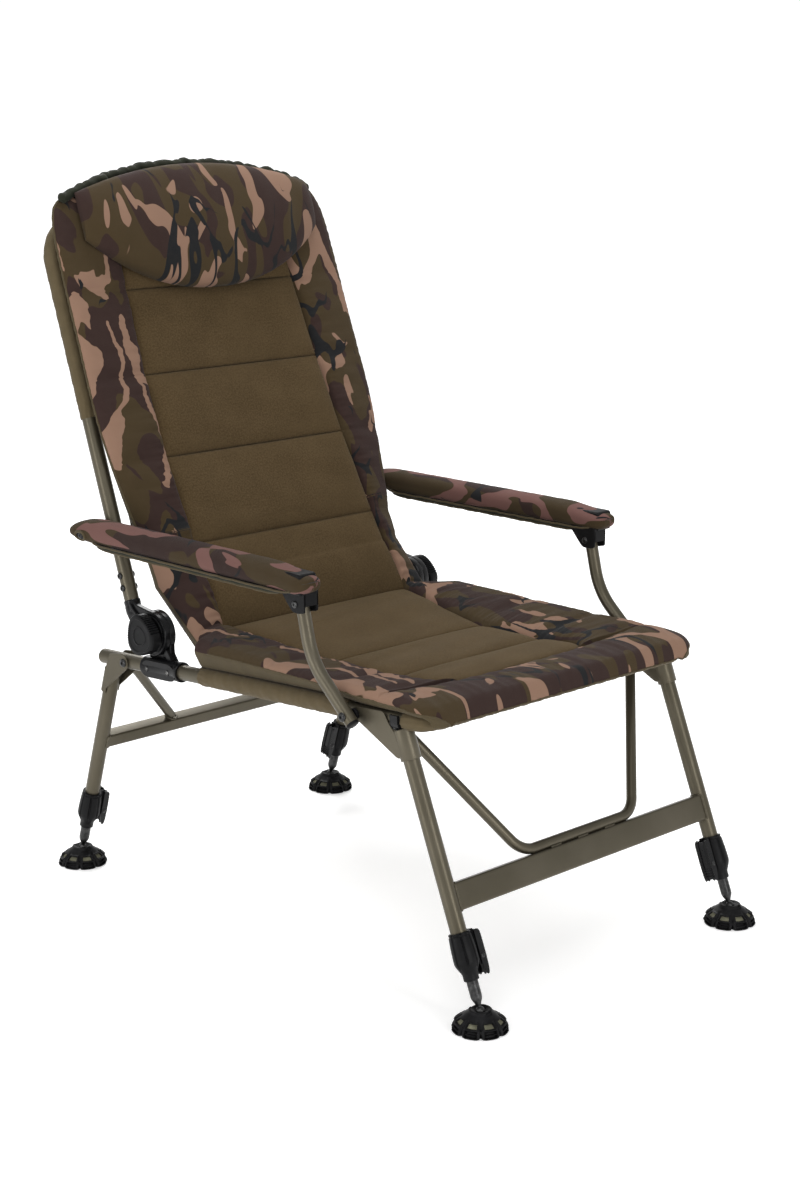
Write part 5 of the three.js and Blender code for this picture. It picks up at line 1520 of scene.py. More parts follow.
def bolt_profile(radius: float, head: float, height: float, faces: Pair) -> list[Pair]:
    """Profile of a bolt with a domed head at each end and a socket in each head.

    Args:
        radius: the shank's radius.
        head: the heads' radius.
        height: the heads' height.
        faces: the two faces that the heads clamp.

    Returns:
        Pairs of radius and place.
    """
    dome = [(0.3, 0.45), (0.34, 1), (0.62, 0.95), (0.85, 0.72), (0.97, 0.4), (1, 0.12), (0.97, 0)]
    start = [(head * r, faces[0] - height * h) for r, h in dome]
    end = [(head * r, faces[1] + height * h) for r, h in dome[::-1]]
    return start + [(radius, faces[0]), (radius, faces[1])] + end


@dataclass(frozen=True)
class Bolt:
    """A through bolt along X on each side of the chair."""

    name: str
    node: str
    body: str
    place: Place
    y: float
    z: float
    radius: float
    head: float
    height: float
    faces: Pair

    def build(self, side: int, word: str) -> None:
        """Makes the bolt on one side."""
        shell = Shell(self.place, side)
        profile = bolt_profile(self.radius, self.head, self.height, self.faces)
        shell.lathe(profile, Look.BOLT, (0, self.y, self.z), axis=0, sides=28)
        body = self.body if self.body in frame["bodies"] else f"{self.body}_{word}"
        shell.dress(f"{self.name}_{word}", body, f"{self.node}_{word}")


RAIL_WALLS, TUBE_WALLS = (268.7, 299.3), (271.7, 296.3)
BOLTS = (
    Bolt("rear_pivot", "rear_pivot_bolt", "seat", SEAT, REAR_Y, RAIL_Z, 4, 7, 3, RAIL_WALLS),
    Bolt("front_pivot", "front_pivot_bolt", "seat", SEAT, FRONT_Y, RAIL_Z, 4, 7, 3, (268.7, 325.3)),
    Bolt("back_bolt_low", "lower_back_bolt", "back", BACK, TUBE_Y, 81, 3, 5.5, 2.6, TUBE_WALLS),
    Bolt("back_bolt_high", "upper_back_bolt", "back", BACK, TUBE_Y, 101, 3, 5.5, 2.6, TUBE_WALLS),
    Bolt("clevis_screw", "clevis_pin", "armrest", ARM, *CLEVIS, 3.5, 5.5, 2, (300.7, 329.4)),
)


@dataclass(frozen=True)
class Frames:
    """The bent tubes of the seat and the back."""

    seat_end: float = 138
    seat_bend: float = 34
    back_end: float = 61
    back_bend: float = 65
    cap: Profile = ((11, 132), (11, 138.2), (10, 141), (7.5, 143.6), (3.5, 145.2), (0.5, 145.6))

    def build(self) -> None:
        """Makes both frames."""
        seat, end, bar = Shell(SEAT), self.seat_end, -FRONT_BAR
        route = (-RAIL, end, RAIL_Z), (-RAIL, bar, RAIL_Z), (RAIL, bar, RAIL_Z), (RAIL, end, RAIL_Z)
        seat.tube(Route(route, self.seat_bend, 16), TUBE, Look.PAINT, sides=40)
        for side in (-1, 1):
            seat.lathe(self.cap, Look.SATIN, (side * RAIL, 0, RAIL_Z), axis=1, sides=40)
        seat.dress("seat_tube", "seat", "seat_frame")
        back, end, bar = Shell(BACK), self.back_end, BACK_BAR
        route = (-RAIL, TUBE_Y, end), (-RAIL, TUBE_Y, bar), (RAIL, TUBE_Y, bar), (RAIL, TUBE_Y, end)
        back.tube(Route(route, self.back_bend, 18), TUBE, Look.PAINT, sides=40)
        back.dress("back_tube", "back", "back_frame")


@dataclass(frozen=True)
class ReclineHinge:
    """The hinge between seat and back on one side, with its clamp knob.

    A profile gives the radius and the place along an axis, and an outline gives Y and Z.
    """

    side: int
    word: str
    sleeve: Profile = (
        (12.4, -64.2), (15.4, -65), (16.2, -64), (16.2, -59), (15.7, -57.5), (15.7, 17.5),
        (16.2, 19), (16.2, 24), (15.4, 25), (12.4, 24.2),
    )
    inner_drum: Profile = (
        (4.5, 269.9), (26, 269.8), (27, 270.6), (31, 270.6), (32, 269.8), (34.8, 270.2),
        (36, 271.6), (36, 279.8), (35.2, 281), (4.5, 281),
    )
    web: Profile = (
        (22, -55), (22, -36), (27, -18), (20, 0), (-20, 0), (-33, -8), (-32, -30), (-40, -48),
        (-50, -55),
    )
    web_rib: Profile = ((-58, -50), (-42, -44), (-27, -22), (-23, -26), (-36, -48), (-52, -55))
    pad: Profile = (
        (-60, -66), (-60, -50), (-48, -43.5), (10, -43.5), (20, -50), (20, -64), (8, -68),
        (-50, -68),
    )
    screws: tuple[Pair, ...] = ((-44, -56), (8, -56))
    washer: Profile = ((5.2, 298.6), (5.2, 299.4), (4, 299.9), (3.9, 298.2), (0.5, 298.2))
    screw: Profile = ((3.4, 298), (3.4, 299.2), (2.9, 300.2), (1.6, 300.8), (0.6, 300.9))
    slot: Pair = (2.3, 0.35)
    outer_drum: Profile = (
        (4.5, 281.4), (35.2, 281.4), (36, 282.4), (36, 290.4), (34.8, 292.2), (33, 292.6),
        (32, 291.9), (29, 291.9), (28, 292.7), (4.5, 292.7),
    )
    neck: Profile = (
        (-20, 24), (20, -22), (35, -9), (41, 12), (52.5, 39), (52.5, 60.2), (27, 60.2), (23, 51),
        (4, 41), (-10, 34),
    )
    neck_rib: Profile = ((8, 20), (14, 14), (34, 44), (38, 58), (32, 58), (28, 46))
    collar: Profile = (
        (10, 38), (12.4, 38), (13.4, 39.6), (13.4, 50), (13, 51), (13, 53), (13.4, 54),
        (13.4, 59.6), (12.6, 60.6), (12.1, 60.6),
    )
    grip: Profile = (
        (4, 280), (4, 293), (9, 293.2), (9, 297), (27, 297), (31.5, 297.6), (33.6, 299),
        (34.4, 300.6), (34.4, 301.2), (35, 301.8), (35, 313.2), (34.6, 314.6), (33.4, 316),
        (31, 316.8), (27.5, 316.8), (26.7, 316.1), (19, 315.6), (16.4, 315.7), (15.4, 316.3),
        (14.8, 316.3), (14, 315.4), (2, 315.2),
    )

    def build(self) -> None:
        """Makes the saddle, the socket and the knob."""
        self.saddle()
        self.socket()
        knob = Shell(BACK, self.side)
        knob.lathe(self.grip, Look.SATIN, axis=0, sides=480, shape=self._lobes)
        knob.dress(f"knob_{self.word}", f"knob_{self.word}", f"hinge_knob_{self.word}", 30)

    def saddle(self) -> None:
        """Makes the sleeve on the rail with its web and half of the drum."""
        shell = Shell(SEAT, self.side)
        shell.lathe(self.sleeve, Look.GLOSS, (RAIL, 0, RAIL_Z), axis=1, sides=40)
        shell.lathe(self.inner_drum, Look.GLOSS, axis=0, sides=64)
        shell.plate(rounded(self.web, 7), (271.0, 280.6), Look.GLOSS, edge=1.2)
        shell.plate(rounded(self.web_rib, 3), (273.0, 286.5), Look.GLOSS, edge=1.0)
        shell.plate(rounded(self.pad, 8), (286, 299.0), Look.GLOSS, edge=1.4)
        for place in self.screws:
            self._screw(shell, (0, *place))
        shell.dress(f"saddle_{self.word}", "seat", f"hinge_saddle_{self.word}")

    def _screw(self, shell: Shell, at: Triple) -> None:
        """Adds a pan-head screw on the outer side of the saddle; its cross recess is a flat dark
        cross, painted shade.
        """
        shell.lathe(self.washer, Look.GLOSS, at, axis=0, sides=28)
        shell.lathe(self.screw, Look.PIN, at, axis=0, sides=28)
        # The cross recess is not cut: a dark cross of black steel, flush with the head, is painted
        # shade of the recess.
        long, wide = self.slot
        corners = (long, wide), (-long, wide), (-long, -wide), (long, -wide)
        for turn in (20, 110):
            c, s = math.cos(math.radians(turn)), math.sin(math.radians(turn))
            slot = [(a * c - b * s, a * s + b * c) for a, b in corners]
            shell.plate(slot, (300.2, 301.0), Look.BOLT, edge=0.05, at=at)

    def socket(self) -> None:
        """Makes the other half of the drum, with the neck that holds the back tube."""
        shell = Shell(BACK, self.side)
        shell.lathe(self.outer_drum, Look.GLOSS, axis=0, sides=64)
        shell.plate(rounded(self.neck, 9), (281.8, 292.2), Look.GLOSS, edge=1.4)
        shell.plate(rounded(self.neck_rib, 3), (284, 296.0), Look.GLOSS, edge=1.0)
        shell.lathe(self.collar, Look.GLOSS, (RAIL, TUBE_Y, 0), sides=40)
        shell.dress(f"socket_{self.word}", "back", f"hinge_socket_{self.word}")

    @staticmethod
    def _lobes(angle: Array, radius: Array) -> Array:
        """Radii of the knob: three hollows with ribs in them, cut deeper towards the rim.

        Args:
            angle: angles round the knob.
            radius: radii of its profile.

        Returns:
            The changed radii.
        """
        share = np.clip((radius - 9) / 26, 0, 1)
        hollow = (1 + np.sin(3 * angle)) / 2
        flat = np.clip((hollow - 0.3) / 0.1, 0, 1)
        rib = np.clip(2.2 * np.sin(48 * angle) + 0.4, 0, 1) * flat
        return radius - 4.5 * hollow * share - 2.3 * rib * np.clip((radius - 32.8) / 1.2, 0, 1)


@dataclass(frozen=True)
class ArmCover:
    """The padded cover of an armrest: a rounded sleeve that tapers to a flap behind the pivot."""

    x: float = 322.5
    half: float = 23.9
    nose: Pair = (-510.7, 30)
    flap: Pair = (-24, 80)
    high: Pair = (-10.4, -0.5)
    # The middle strip, in the dark binding, is painted shade: a dark tube where the slot between
    # the two bound edges lies in shadow.
    closure: tuple[tuple[float, float, float, float, Look], ...] = (
        (2.2, -8.9, 1.7, 0, Look.BINDING), (5.4, -11.9, 2.3, 20, Look.RUFFLE),
        (5.6, -15.2, 1.7, 30, Look.BINDING),
    )
    strips: Pair = (-488, -16)
    eyelet: tuple[float, float, float, float] = (11, 1.5, 12, 6.8)
    bolt: Profile = ((0.5, 346.6), (2.2, 346.7), (2.4, 347.8), (4.2, 347.6), (4.6, 347), (4.6, 343))

    def build(self, side: int, word: str) -> None:
        """Makes the cover on one side, with its closure, eyelet and nose seam."""
        shell = Shell(ARM, side)
        self._sleeve(shell)
        self._closure(shell)
        self._eyelet(shell)
        t = np.linspace(-0.98, 0.98, 40)
        x, y = self.x + 20.5 * np.sin(t * np.pi / 2), -510.9 + 21 * np.abs(t) ** 2.6
        path = np.stack([x, y, 4.5 + 5 * (1 - t**2)], axis=1)
        shell.tube(Course(path), 0.8, Look.THREAD, sides=8, cloth=True)
        made = shell.dress(f"arm_cover_{word}", f"armrest_{word}", f"armrest_cover_{word}", 60)

    def _sleeve(self, shell: Shell) -> None:
        """Adds the padding: rings of a rounded rectangle, whose sizes change along the armrest."""
        quarter = np.linspace(0, np.pi / 2, 22)[1:]
        nose = self.nose[0] + self.nose[1] * (1 - np.cos(quarter))
        run = np.linspace(nose[-1], self.flap[0], 110)[1:]
        tail = self.flap[0] + self.flap[1] * np.sin(np.linspace(0, np.pi / 2, 44)[1:])
        y = np.concatenate([nose, run, tail])[:, None]
        front = np.clip((y - self.nose[0]) / self.nose[1], 0, 1)
        blunt = np.sqrt(np.maximum(1 - (1 - front) ** 2, 0.0004))
        back = np.clip((y - self.flap[0]) / self.flap[1], 0, 1)
        top = self.high[1] + 28.1 * np.sqrt(np.maximum(1 - back**2.1, 0.001))
        top = top - 9 * ease((-415 - y) / 90)
        under = self.high[0] + 8.4 * back**3 - 1.5 * ease((-440 - y) / 60)
        half_high = (top - under) / 2 * (0.35 + 0.65 * blunt)
        level = (top + under) / 2 + 4 * (1 - blunt)
        narrow = np.sqrt(np.maximum(1 - 0.85 * back**5, 0))
        half_wide = self.half * (0.3 + 0.7 * blunt**0.8) * narrow
        angle = np.linspace(-np.pi / 2, 3 * np.pi / 2, 64, endpoint=False)[None]
        c, s = np.cos(angle), np.sin(angle)
        across = np.sign(c) * np.abs(c) ** 0.8
        upward = np.sign(s) * np.abs(s) ** np.where(s > 0, 0.9, 0.64)
        dimple = ripple((y * 0.09 + c * 2, 0.6), (y * 0.21 - s * 2.5, 0.4)) * 0.5
        swell = 1 + dimple / 40
        x = self.x + half_wide * across * swell
        z = level + half_high * upward * swell
        points = np.stack([x, np.broadcast_to(y, x.shape), z], axis=-1)
        wrap = np.stack([angle * 23 + 0 * y, y + 0 * angle, np.full_like(x, 400)], axis=-1)
        shell.grid(points, Look.CAMO_ARM_SHADED, cloth=wrap)

    def _closure(self, shell: Shell) -> None:
        """Adds the closure's bound edges below the armrest, and a dark tube between them as painted
        shade.
        """
        y = np.linspace(*self.strips, 160)
        for inset, level, radius, reach, finish in self.closure:
            held = (y > y[0] + reach) & (y < y[-1] - reach / 3)
            run = y[held]
            wave = 0.5 * ripple((run * 0.12 + inset, 0.6), (run * 0.31, 0.4))
            near = np.minimum(run - run[0], run[-1] - run)
            ends = 3.5 * np.exp(-near / 9) * (inset > 2)
            for side in (-1, 1):
                x = self.x + side * (self.half - inset) + wave * 0.6
                path = np.stack([x, run, level + wave + ends], axis=1)
                shell.tube(Course(path), radius, finish, sides=10, cloth=True)

    def _eyelet(self, shell: Shell) -> None:
        """Adds the bound eyelet that lies on the cover's side, and the bolt in it."""
        place, height, long, high = self.eyelet
        angle = np.linspace(0, 2 * np.pi, 60)
        size = np.array([1.0, 0.8, 0.6, 0.4, 0.2, 0.02])[:, None]
        y, z = place + long * size * np.cos(angle), height + high * size * np.sin(angle)
        deep = np.clip((8.7 - z) / 18.5, 0, 1) ** (1 / 0.64)
        x = self.x + 0.5 + self.half * (1 - deep**2) ** 0.4
        oval = np.stack([x, y, z], axis=-1)
        shell.tube(Course(oval[0]), 2.2, Look.BINDING, sides=12, caps=False, cloth=True)
        shell.grid(oval[:, :-1], Look.SATIN)
        shell.lathe(self.bolt, Look.BOLT, (0, 10, 2.0), axis=0, sides=28)


@dataclass(frozen=True)
class Armrest:
    """An armrest on one side with its support tube and fixings."""

    side: int
    word: str
    bar: Profile = ((-16, -10.8), (34, 6), (-19, 24), (-500, 20), (-500, -10.8))
    bar_span: Pair = (306, 339)
    ears: tuple[Pair, ...] = ((301.0, 304.4), (325.6, 329.1))
    ear: Profile = ((-20, -10), (-7, -13), (6, -12), (15, -3), (29, 13))
    root: float = -7
    gap: Pair = (301.4, 328.7)
    tube_x: float = 315
    eye: Pair = (93.753, 148.498)
    elbow: Pair = (73.3, 65.3)
    leans: Pair = (13.8, 48.3)
    plug: Profile = (
        (0.5, -3.4), (7.5, -3.4), (8.3, -3), (9.6, -2.2), (9.95, -1.2), (9.95, -0.2), (8.2, 0),
        (8.2, 9),
    )
    spacer: Profile = (
        (4.4, 299.4), (7.8, 299.4), (8.5, 300.1), (8.5, 303.9), (7.8, 304.6), (4.4, 304.6),
    )
    shoulder: Profile = (
        (2.1, 270.4), (2.4, 268.7), (4.3, 268.8), (6, 269.6), (6.9, 270.6), (7, 271.7),
        (4, 271.7), (4, 296.3), (7.4, 296.3), (8, 296.9), (8, 300.2), (7.6, 300.7), (4, 300.7),
        (4, 312.6),
    )

    def build(self) -> None:
        """Makes the core, cover, support tube, spacer and rear bolt."""
        self.core()
        ArmCover().build(self.side, self.word)
        self.support()
        spacer, at = Shell(SEAT, self.side), (0, FRONT_Y, RAIL_Z)
        spacer.lathe(self.spacer, Look.SATIN, at, axis=0)
        spacer.dress(f"spacer_{self.word}", "seat", f"arm_spacer_{self.word}")
        bolt, at = Shell(BACK, self.side), (0, TUBE_Y, ARM_ALONG)
        bolt.lathe(self.shoulder, Look.BOLT, at, axis=0, sides=28)
        bolt.dress(f"arm_bolt_{self.word}", "back", f"armrest_pivot_bolt_{self.word}")

    def core(self) -> None:
        """Makes the moulded core and the clevis below its front end."""
        shell = Shell(ARM, self.side)
        shell.plate(rounded(self.bar, 6), self.bar_span, Look.SATIN, edge=2)
        y, z = CLEVIS
        ear = [(y - 20, self.root), *[(y + a, z + b) for a, b in self.ear], (y + 36, self.root)]
        for span in self.ears:
            shell.plate(rounded(ear, 4), span, Look.SATIN, edge=0.8)
        wall = (y - 20, self.root), (y - 20, z - 1), (y - 16.6, z + 0.5), (y - 16.6, self.root)
        shell.plate(wall, self.gap, Look.SATIN, edge=0.5)
        roof = (y - 19, -6), (y - 19, -12), (y + 30, -12), (y + 32, -6)
        shell.plate(rounded(roof, 2), self.gap, Look.SATIN, edge=0.8)
        shell.dress(f"arm_core_{self.word}", f"armrest_{self.word}", f"armrest_core_{self.word}")

    def support(self) -> None:
        """Makes the bent tube between the clevis and the seat rail, with its end plug."""
        shell = Shell(SUPPORT, self.side)
        upper, lower = [math.radians(lean) for lean in self.leans]
        x, (y, z) = self.tube_x, self.eye
        top = np.array([x, y + 9 * math.sin(upper), z + 9 * math.cos(upper)])
        end = np.array([x, -14 * math.sin(lower), -14 * math.cos(lower)])
        route = Route([top, (x, *self.elbow), end], 110, 24)
        shell.tube(route, 10, Look.PAINT, sides=36)
        body = f"arm_tube_{self.word}"
        shell.dress(f"arm_support_{self.word}", body, f"arm_tube_{self.word}")
        plug = Shell(SUPPORT.child(end[1], end[2], -self.leans[1]), self.side)
        plug.lathe(self.plug, Look.SATIN, (x, 0, 0), sides=36)
        plug.dress(f"arm_plug_{self.word}", body, f"arm_tube_plug_{self.word}")


@dataclass(frozen=True)
class Legs:
    """A pair of legs with their crossbar, stays and leg ends.

    The outline of the bracket's ears is in shares of set_off, the tubes' distance from the pivot.
    The balls of the feet lie at drop below the pivot, and the crossbar at bar_rise above the balls.
    """

    end: str
    place: Place
    set_off: float
    drop: float
    top: float
    ear: Profile
    bar: Pair
    bar_rise: float
    stay: float = 8
    stay_x: float = 268.6

    @property
    def body(self) -> str:
        """Name of the body that the legs ride."""
        return f"{self.end}_legs"

    @property
    def bar_drop(self) -> float:
        """How far down the legs the crossbar is."""
        return self.drop - self.bar_rise

    def build(self) -> None:
        """Makes both legs, the pieces of each leg's end and the crossbar with its stays."""
        for side, word in SIDES:
            shell = Shell(self.place, side)
            low = 66.8 - self.drop
            tube = [(9.8, self.top - 3), (9.8, self.top), (11.6, self.top), (12, self.top - 0.5)]
            tube += [(12, low), (9, low)]
            shell.lathe(tube, Look.PAINT, (RAIL, self.set_off, 0), sides=40)
            size = abs(self.set_off)
            ear = rounded([(y * size, z * size) for y, z in self.ear], 6)
            for inner in (269.0, 296.5):
                shell.plate(ear, (inner, inner + 2.5), Look.PAINT, edge=0.6)
            self.hold(shell)
            shell.dress(f"{self.end}_leg_tube_{word}", self.body, f"{self.end}_leg_{word}")
            LegEnd(self, side, word).build()
        shell = Shell(self.place)
        self._bar(shell)
        self.stays(shell)
        shell.dress(f"{self.end}_bar", self.body, f"{self.end}_crossbar")

    def hold(self, shell: Shell) -> None:
        """Adds the part of the bracket that holds the leg tube."""
        raise NotImplementedError

    def stays(self, shell: Shell) -> None:
        """Adds the stays between the crossbar and the brackets."""
        raise NotImplementedError

    def _bar(self, shell: Shell) -> None:
        """Adds the cross member with a weld bead round each end."""
        high, deep = self.bar[0] / 2, self.bar[1] / 2
        outline = (deep, high), (-deep, high), (-deep, -high), (deep, -high)
        at = (0, self.set_off, -self.bar_drop)
        shape = rounded(outline, 4)
        shell.plate(shape, (-278, 278), Look.PAINT, edge=0.1, at=at)
        loop = np.array(shape + shape[:1])
        arc = np.concatenate([[0], np.cumsum(np.hypot(*np.diff(loop, axis=0).T))])
        even = np.linspace(0, arc[-1], 90)
        y, z = np.interp(even, arc, loop[:, 0]), np.interp(even, arc, loop[:, 1])
        x = RAIL - np.sqrt(np.maximum(12.4**2 - y**2, 0))
        bead = 1.7 + 0.45 * np.abs(np.sin(even * 0.9))[:, None]
        for side in (-1, 1):
            path = np.stack([side * x, y + at[1], z + at[2]], axis=1)
            shell.tube(Course(path), bead, Look.PAINT, sides=10, caps=False)


@dataclass(frozen=True)
class FrontLegs(Legs):
    """The front legs, with a ring on each bracket, a bent stay and a saddle clip for each rail."""

    end: str = "front"
    place: Place = FRONT
    set_off: float = -72.5
    drop: float = 445.88
    top: float = -40.5
    ear: Profile = (
        (0.069, 0.17), (-0.793, -0.095), (-0.855, -0.38), (-0.945, -0.552), (-1, -1.07),
        (-0.848, -1.07), (-0.039, -0.183), (0.181, -0.03),
    )
    bar: Pair = (40, 20)
    bar_rise: float = 161.1
    ring: Profile = ((12.1, -38.6), (14.4, -38.2), (15, -39), (15, -82), (14.4, -83), (12.1, -83.2))
    foot_x: float = 123.0
    head: Pair = (-31.0, -10.5)
    welds: tuple[float, ...] = (-60, 0, 60)
    clip_radii: Pair = (16, 12.5)
    clip_span: Pair = (-561.5, -546.5)
    stem: Profile = ((8, -75), (10, -74), (10, -33), (8.6, -32.2))

    def build(self) -> None:
        """Makes the legs and their saddle clips."""
        super().build()
        for side, word in SIDES:
            self.clip(side, word)

    def hold(self, shell: Shell) -> None:
        """Adds the ring round the tube."""
        shell.lathe(self.ring, Look.PAINT, (RAIL, self.set_off, 0), sides=40)

    def stays(self, shell: Shell) -> None:
        """Adds the bent stay, which lies on the crossbar between two rows of weld beads."""
        bar_top = -self.bar_drop + self.bar[0] / 2
        low = bar_top + self.stay - 0.5
        feet = [np.array([s * self.foot_x, self.set_off, low]) for s in (1, -1)]
        heads = [np.array([s * self.stay_x, *self.head]) for s in (1, -1)]
        route = Route([heads[0], feet[0], feet[1], heads[1]], 45, 18)
        shell.tube(route, self.stay, Look.PAINT)
        for x in self.welds:
            run = np.linspace(x - 11, x + 11, 40)
            bead = 1.7 + 0.4 * np.abs(np.sin(run * 1.1))[:, None]
            for y in (-6.5, 6.5):
                level = np.full(40, bar_top + 1)
                path = np.stack([run, np.full(40, self.set_off + y), level], axis=1)
                shell.tube(Course(path), bead, Look.PAINT, sides=8)

    def clip(self, side: int, word: str) -> None:
        """Makes the moulded saddle that the rail rests in, with its stem in the leg tube."""
        outer, inner = self.clip_radii
        half = np.linspace(-np.pi / 2, np.pi / 2, 21)
        below = [(-outer * math.cos(a), outer * math.sin(a)) for a in half]
        above = [(-inner * math.cos(a), inner * math.sin(a)) for a in -half]
        section = [(9, -outer), *below, (9, outer), (9, inner), *above, (9, -inner)]
        clip = Shell(SEAT, side)
        at = (RAIL, 0, RAIL_Z)
        clip.plate(section, self.clip_span, Look.GLOSS, axis=1, edge=0.6, at=at)
        stem = Shell(self.place, side)
        stem.lathe(self.stem, Look.GLOSS, (RAIL, self.set_off, 0))
        made = clip.build(f"rail_saddle_{word}")
        for piece in (made, stem.build(f"saddle_stem_{word}")):
            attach(piece, self.body)
        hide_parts(f"leg_saddle_{word}")


@dataclass(frozen=True)
class RearLegs(Legs):
    """The rear legs, with a fold of each bracket round the leg and two straight stays."""

    end: str = "rear"
    place: Place = REAR
    set_off: float = 36.5
    drop: float = 382.54
    top: float = -32
    ear: Profile = (
        (0.997, -0.025), (0.071, 0.408), (-0.255, 0.195), (-0.301, -0.134), (1.033, -2.016),
        (1.123, -2.016), (1.112, -0.751),
    )
    bar: Pair = (22, 24)
    bar_rise: float = 213.5
    fold: tuple[float, ...] = (-34.3, -34.0, -73.7, -74.0)
    fold_radii: Pair = (15, 12.4)
    foot_x: float = 142.0
    head: Pair = (10.0, -16.0)
    weld: float = 9.5

    def hold(self, shell: Shell) -> None:
        """Adds the back of the bracket, folded round the leg."""
        angle = np.linspace(-0.35, np.pi + 0.35, 25)
        radius = np.repeat(self.fold_radii, len(angle))
        turn = np.concatenate([angle, angle[::-1]])
        x, y = RAIL + radius * np.cos(turn), self.set_off + radius * np.sin(turn)
        rows = [np.stack([x, y, np.full_like(x, z)], axis=1) for z in self.fold]
        shell.grid(np.array(rows), Look.PAINT)

    def stays(self, shell: Shell) -> None:
        """Adds the two stays, with a ring of weld where each meets the crossbar."""
        top = -self.bar_drop + self.bar[0] / 2
        angle = np.linspace(0, 2 * np.pi, 60)
        ring = np.stack([np.cos(angle), np.sin(angle), 0 * angle], axis=1)
        bead = 1.5 + 0.35 * np.abs(np.sin(angle * 14))[:, None]
        for s in (1, -1):
            foot = np.array([s * self.foot_x, self.set_off, top + 4])
            route = Route([np.array([s * self.stay_x, *self.head]), foot])
            shell.tube(route, self.stay, Look.PAINT)
            path = self.weld * ring + (foot[0] - s * 1.5, self.set_off, top + 1.0)
            shell.tube(Course(path), bead, Look.PAINT, sides=10, caps=False)


@dataclass(frozen=True)
class LegEnd:
    """The collar, lever, inner leg and mud foot at the end of a leg, from the ball of the foot."""

    leg: Legs
    side: int
    word: str
    collar_profile: Profile = (
        (8.7, 44), (10, 44), (11.2, 45.2), (11.2, 53), (12, 56), (14.8, 61.5), (17.4, 67),
        (18.2, 70.5), (18.3, 74), (18.2, 80), (17.9, 88), (17.3, 97), (16.7, 104), (16.2, 108),
        (15.2, 108.8), (15.2, 110.2), (15.9, 110.8), (15.8, 112.4), (15, 113), (12.2, 113),
    )
    lug: Profile = ((69, 14), (69, 24), (73, 27.3), (77, 24), (77, 14))
    split: Profile = ((87, 19.4), (87, 15), (113, 15), (113, 19))
    cheek: Profile = (
        (109.5, 19.6), (111, 21.5), (109, 27.6), (100, 28.4), (73, 28.6), (55, 27.8), (48, 26.4),
        (46.8, 24.5), (48, 22.6), (64, 19.6),
    )
    face: Profile = (
        (109, 24.5), (108.4, 27.2), (100, 28), (73, 28.3), (55, 27.5), (48.4, 25.9),
        (48.6, 24.2), (73, 27.9), (99, 25.4),
    )
    ridges: tuple[float, ...] = (53, 57, 61, 65)
    rod: Profile = (
        (3.2, 7.4), (3.6, 9), (5.2, 12.5), (7.2, 16.4), (8.1, 19.2), (8.35, 22), (8.35, 203),
        (7.9, 205),
    )
    ball: float = 7
    dome: Profile = (
        (38.4, 0), (40.2, 0.7), (41, 2.2), (41, 4.5), (40.6, 6.4), (39.8, 8.4), (38.6, 10.4),
        (37.2, 12.2), (35.6, 13.8), (33.8, 15.2), (31.6, 16.8), (29.4, 18.5), (27.2, 20.2),
        (25, 21.9), (22.8, 23.6), (20.6, 25.2), (18.6, 26.8), (17.4, 28.4), (16.6, 30),
        (15.8, 30.8), (14.6, 31), (12.6, 30.6), (10.6, 29.4), (8.6, 28.6), (7.3, 28),
    )
    petals: int = 8
    sides: int = 320
    sole: float = 27

    @property
    def name(self) -> str:
        """Start of the names of this end's pieces and nodes."""
        return f"{self.leg.end}_{self.word}"

    def _dress(self, shell: Shell, part: str, body: str, crease: float = 35) -> None:
        """Makes one of the pieces, in place of the node of the same name."""
        shell.dress(f"{self.name}_{part}_shell", body, f"{self.name}_{part}", crease)

    def build(self) -> None:
        """Makes the four pieces."""
        ball = self.leg.place.child(self.leg.set_off, -self.leg.drop)
        self.collar(ball)
        self.lever(ball)
        self.inner_leg(ball)
        self.foot(Place(ball.y, ball.z, 0))

    @staticmethod
    def _beside(outline: Profile) -> list[Pair]:
        """An outline in Z and X, from one in Z and distance from the leg."""
        return [(z, RAIL - out) for z, out in outline]

    def collar(self, ball: Place) -> None:
        """Makes the clamp collar with its flutes, lug and slot."""
        shell = Shell(ball, self.side)
        profile, satin = self.collar_profile, Look.SATIN
        shell.lathe(profile, satin, (RAIL, 0, 0), sides=120, shape=self._flutes)
        lug = rounded(self._beside(self.lug), 3)
        shell.plate(lug, (-4.3, 4.3), satin, axis=1, edge=0.8)
        for span in ((-7.5, -2.2), (2.2, 7.5)):
            shell.plate(self._beside(self.split), span, satin, axis=1, edge=0.7)
        self._dress(shell, "collar", self.leg.body)

    @staticmethod
    def _flutes(angle: Array, radius: Array) -> Array:
        """Radii of the collar, with seven narrow flutes where it is thick."""
        depth = 2.0 * np.clip((radius - 15.0) / 0.8, 0, 1)
        return radius - depth * np.clip(np.cos(7 * angle) * 5 - 3.9, 0, 1)

    def lever(self, ball: Place) -> None:
        """Makes the cam lever and its pin."""
        shell, gloss = Shell(ball, self.side), Look.GLOSS
        cheek = rounded(self._beside(self.cheek), 4)
        for span in ((-11, -5.0), (5.0, 11)):
            shell.plate(cheek, span, gloss, axis=1, edge=1.1)
        face = rounded(self._beside(self.face), 1)
        shell.plate(face, (-7, 7), gloss, axis=1, edge=0.4)
        for z in self.ridges:
            ridge = (z - 0.9, 27.4), (z + 0.9, 27.6), (z + 0.5, 29.3), (z - 0.5, 29.2)
            shell.plate(self._beside(ridge), (-8.5, 8.5), gloss, axis=1, edge=0.3)
        pin = bolt_profile(2.9, 3.6, 1.4, (-11.0, 11.0))
        shell.lathe(pin, Look.BOLT, (RAIL - 23, 0, 73), axis=1, sides=24)
        self._dress(shell, "lever", f"{self.name}_lever")

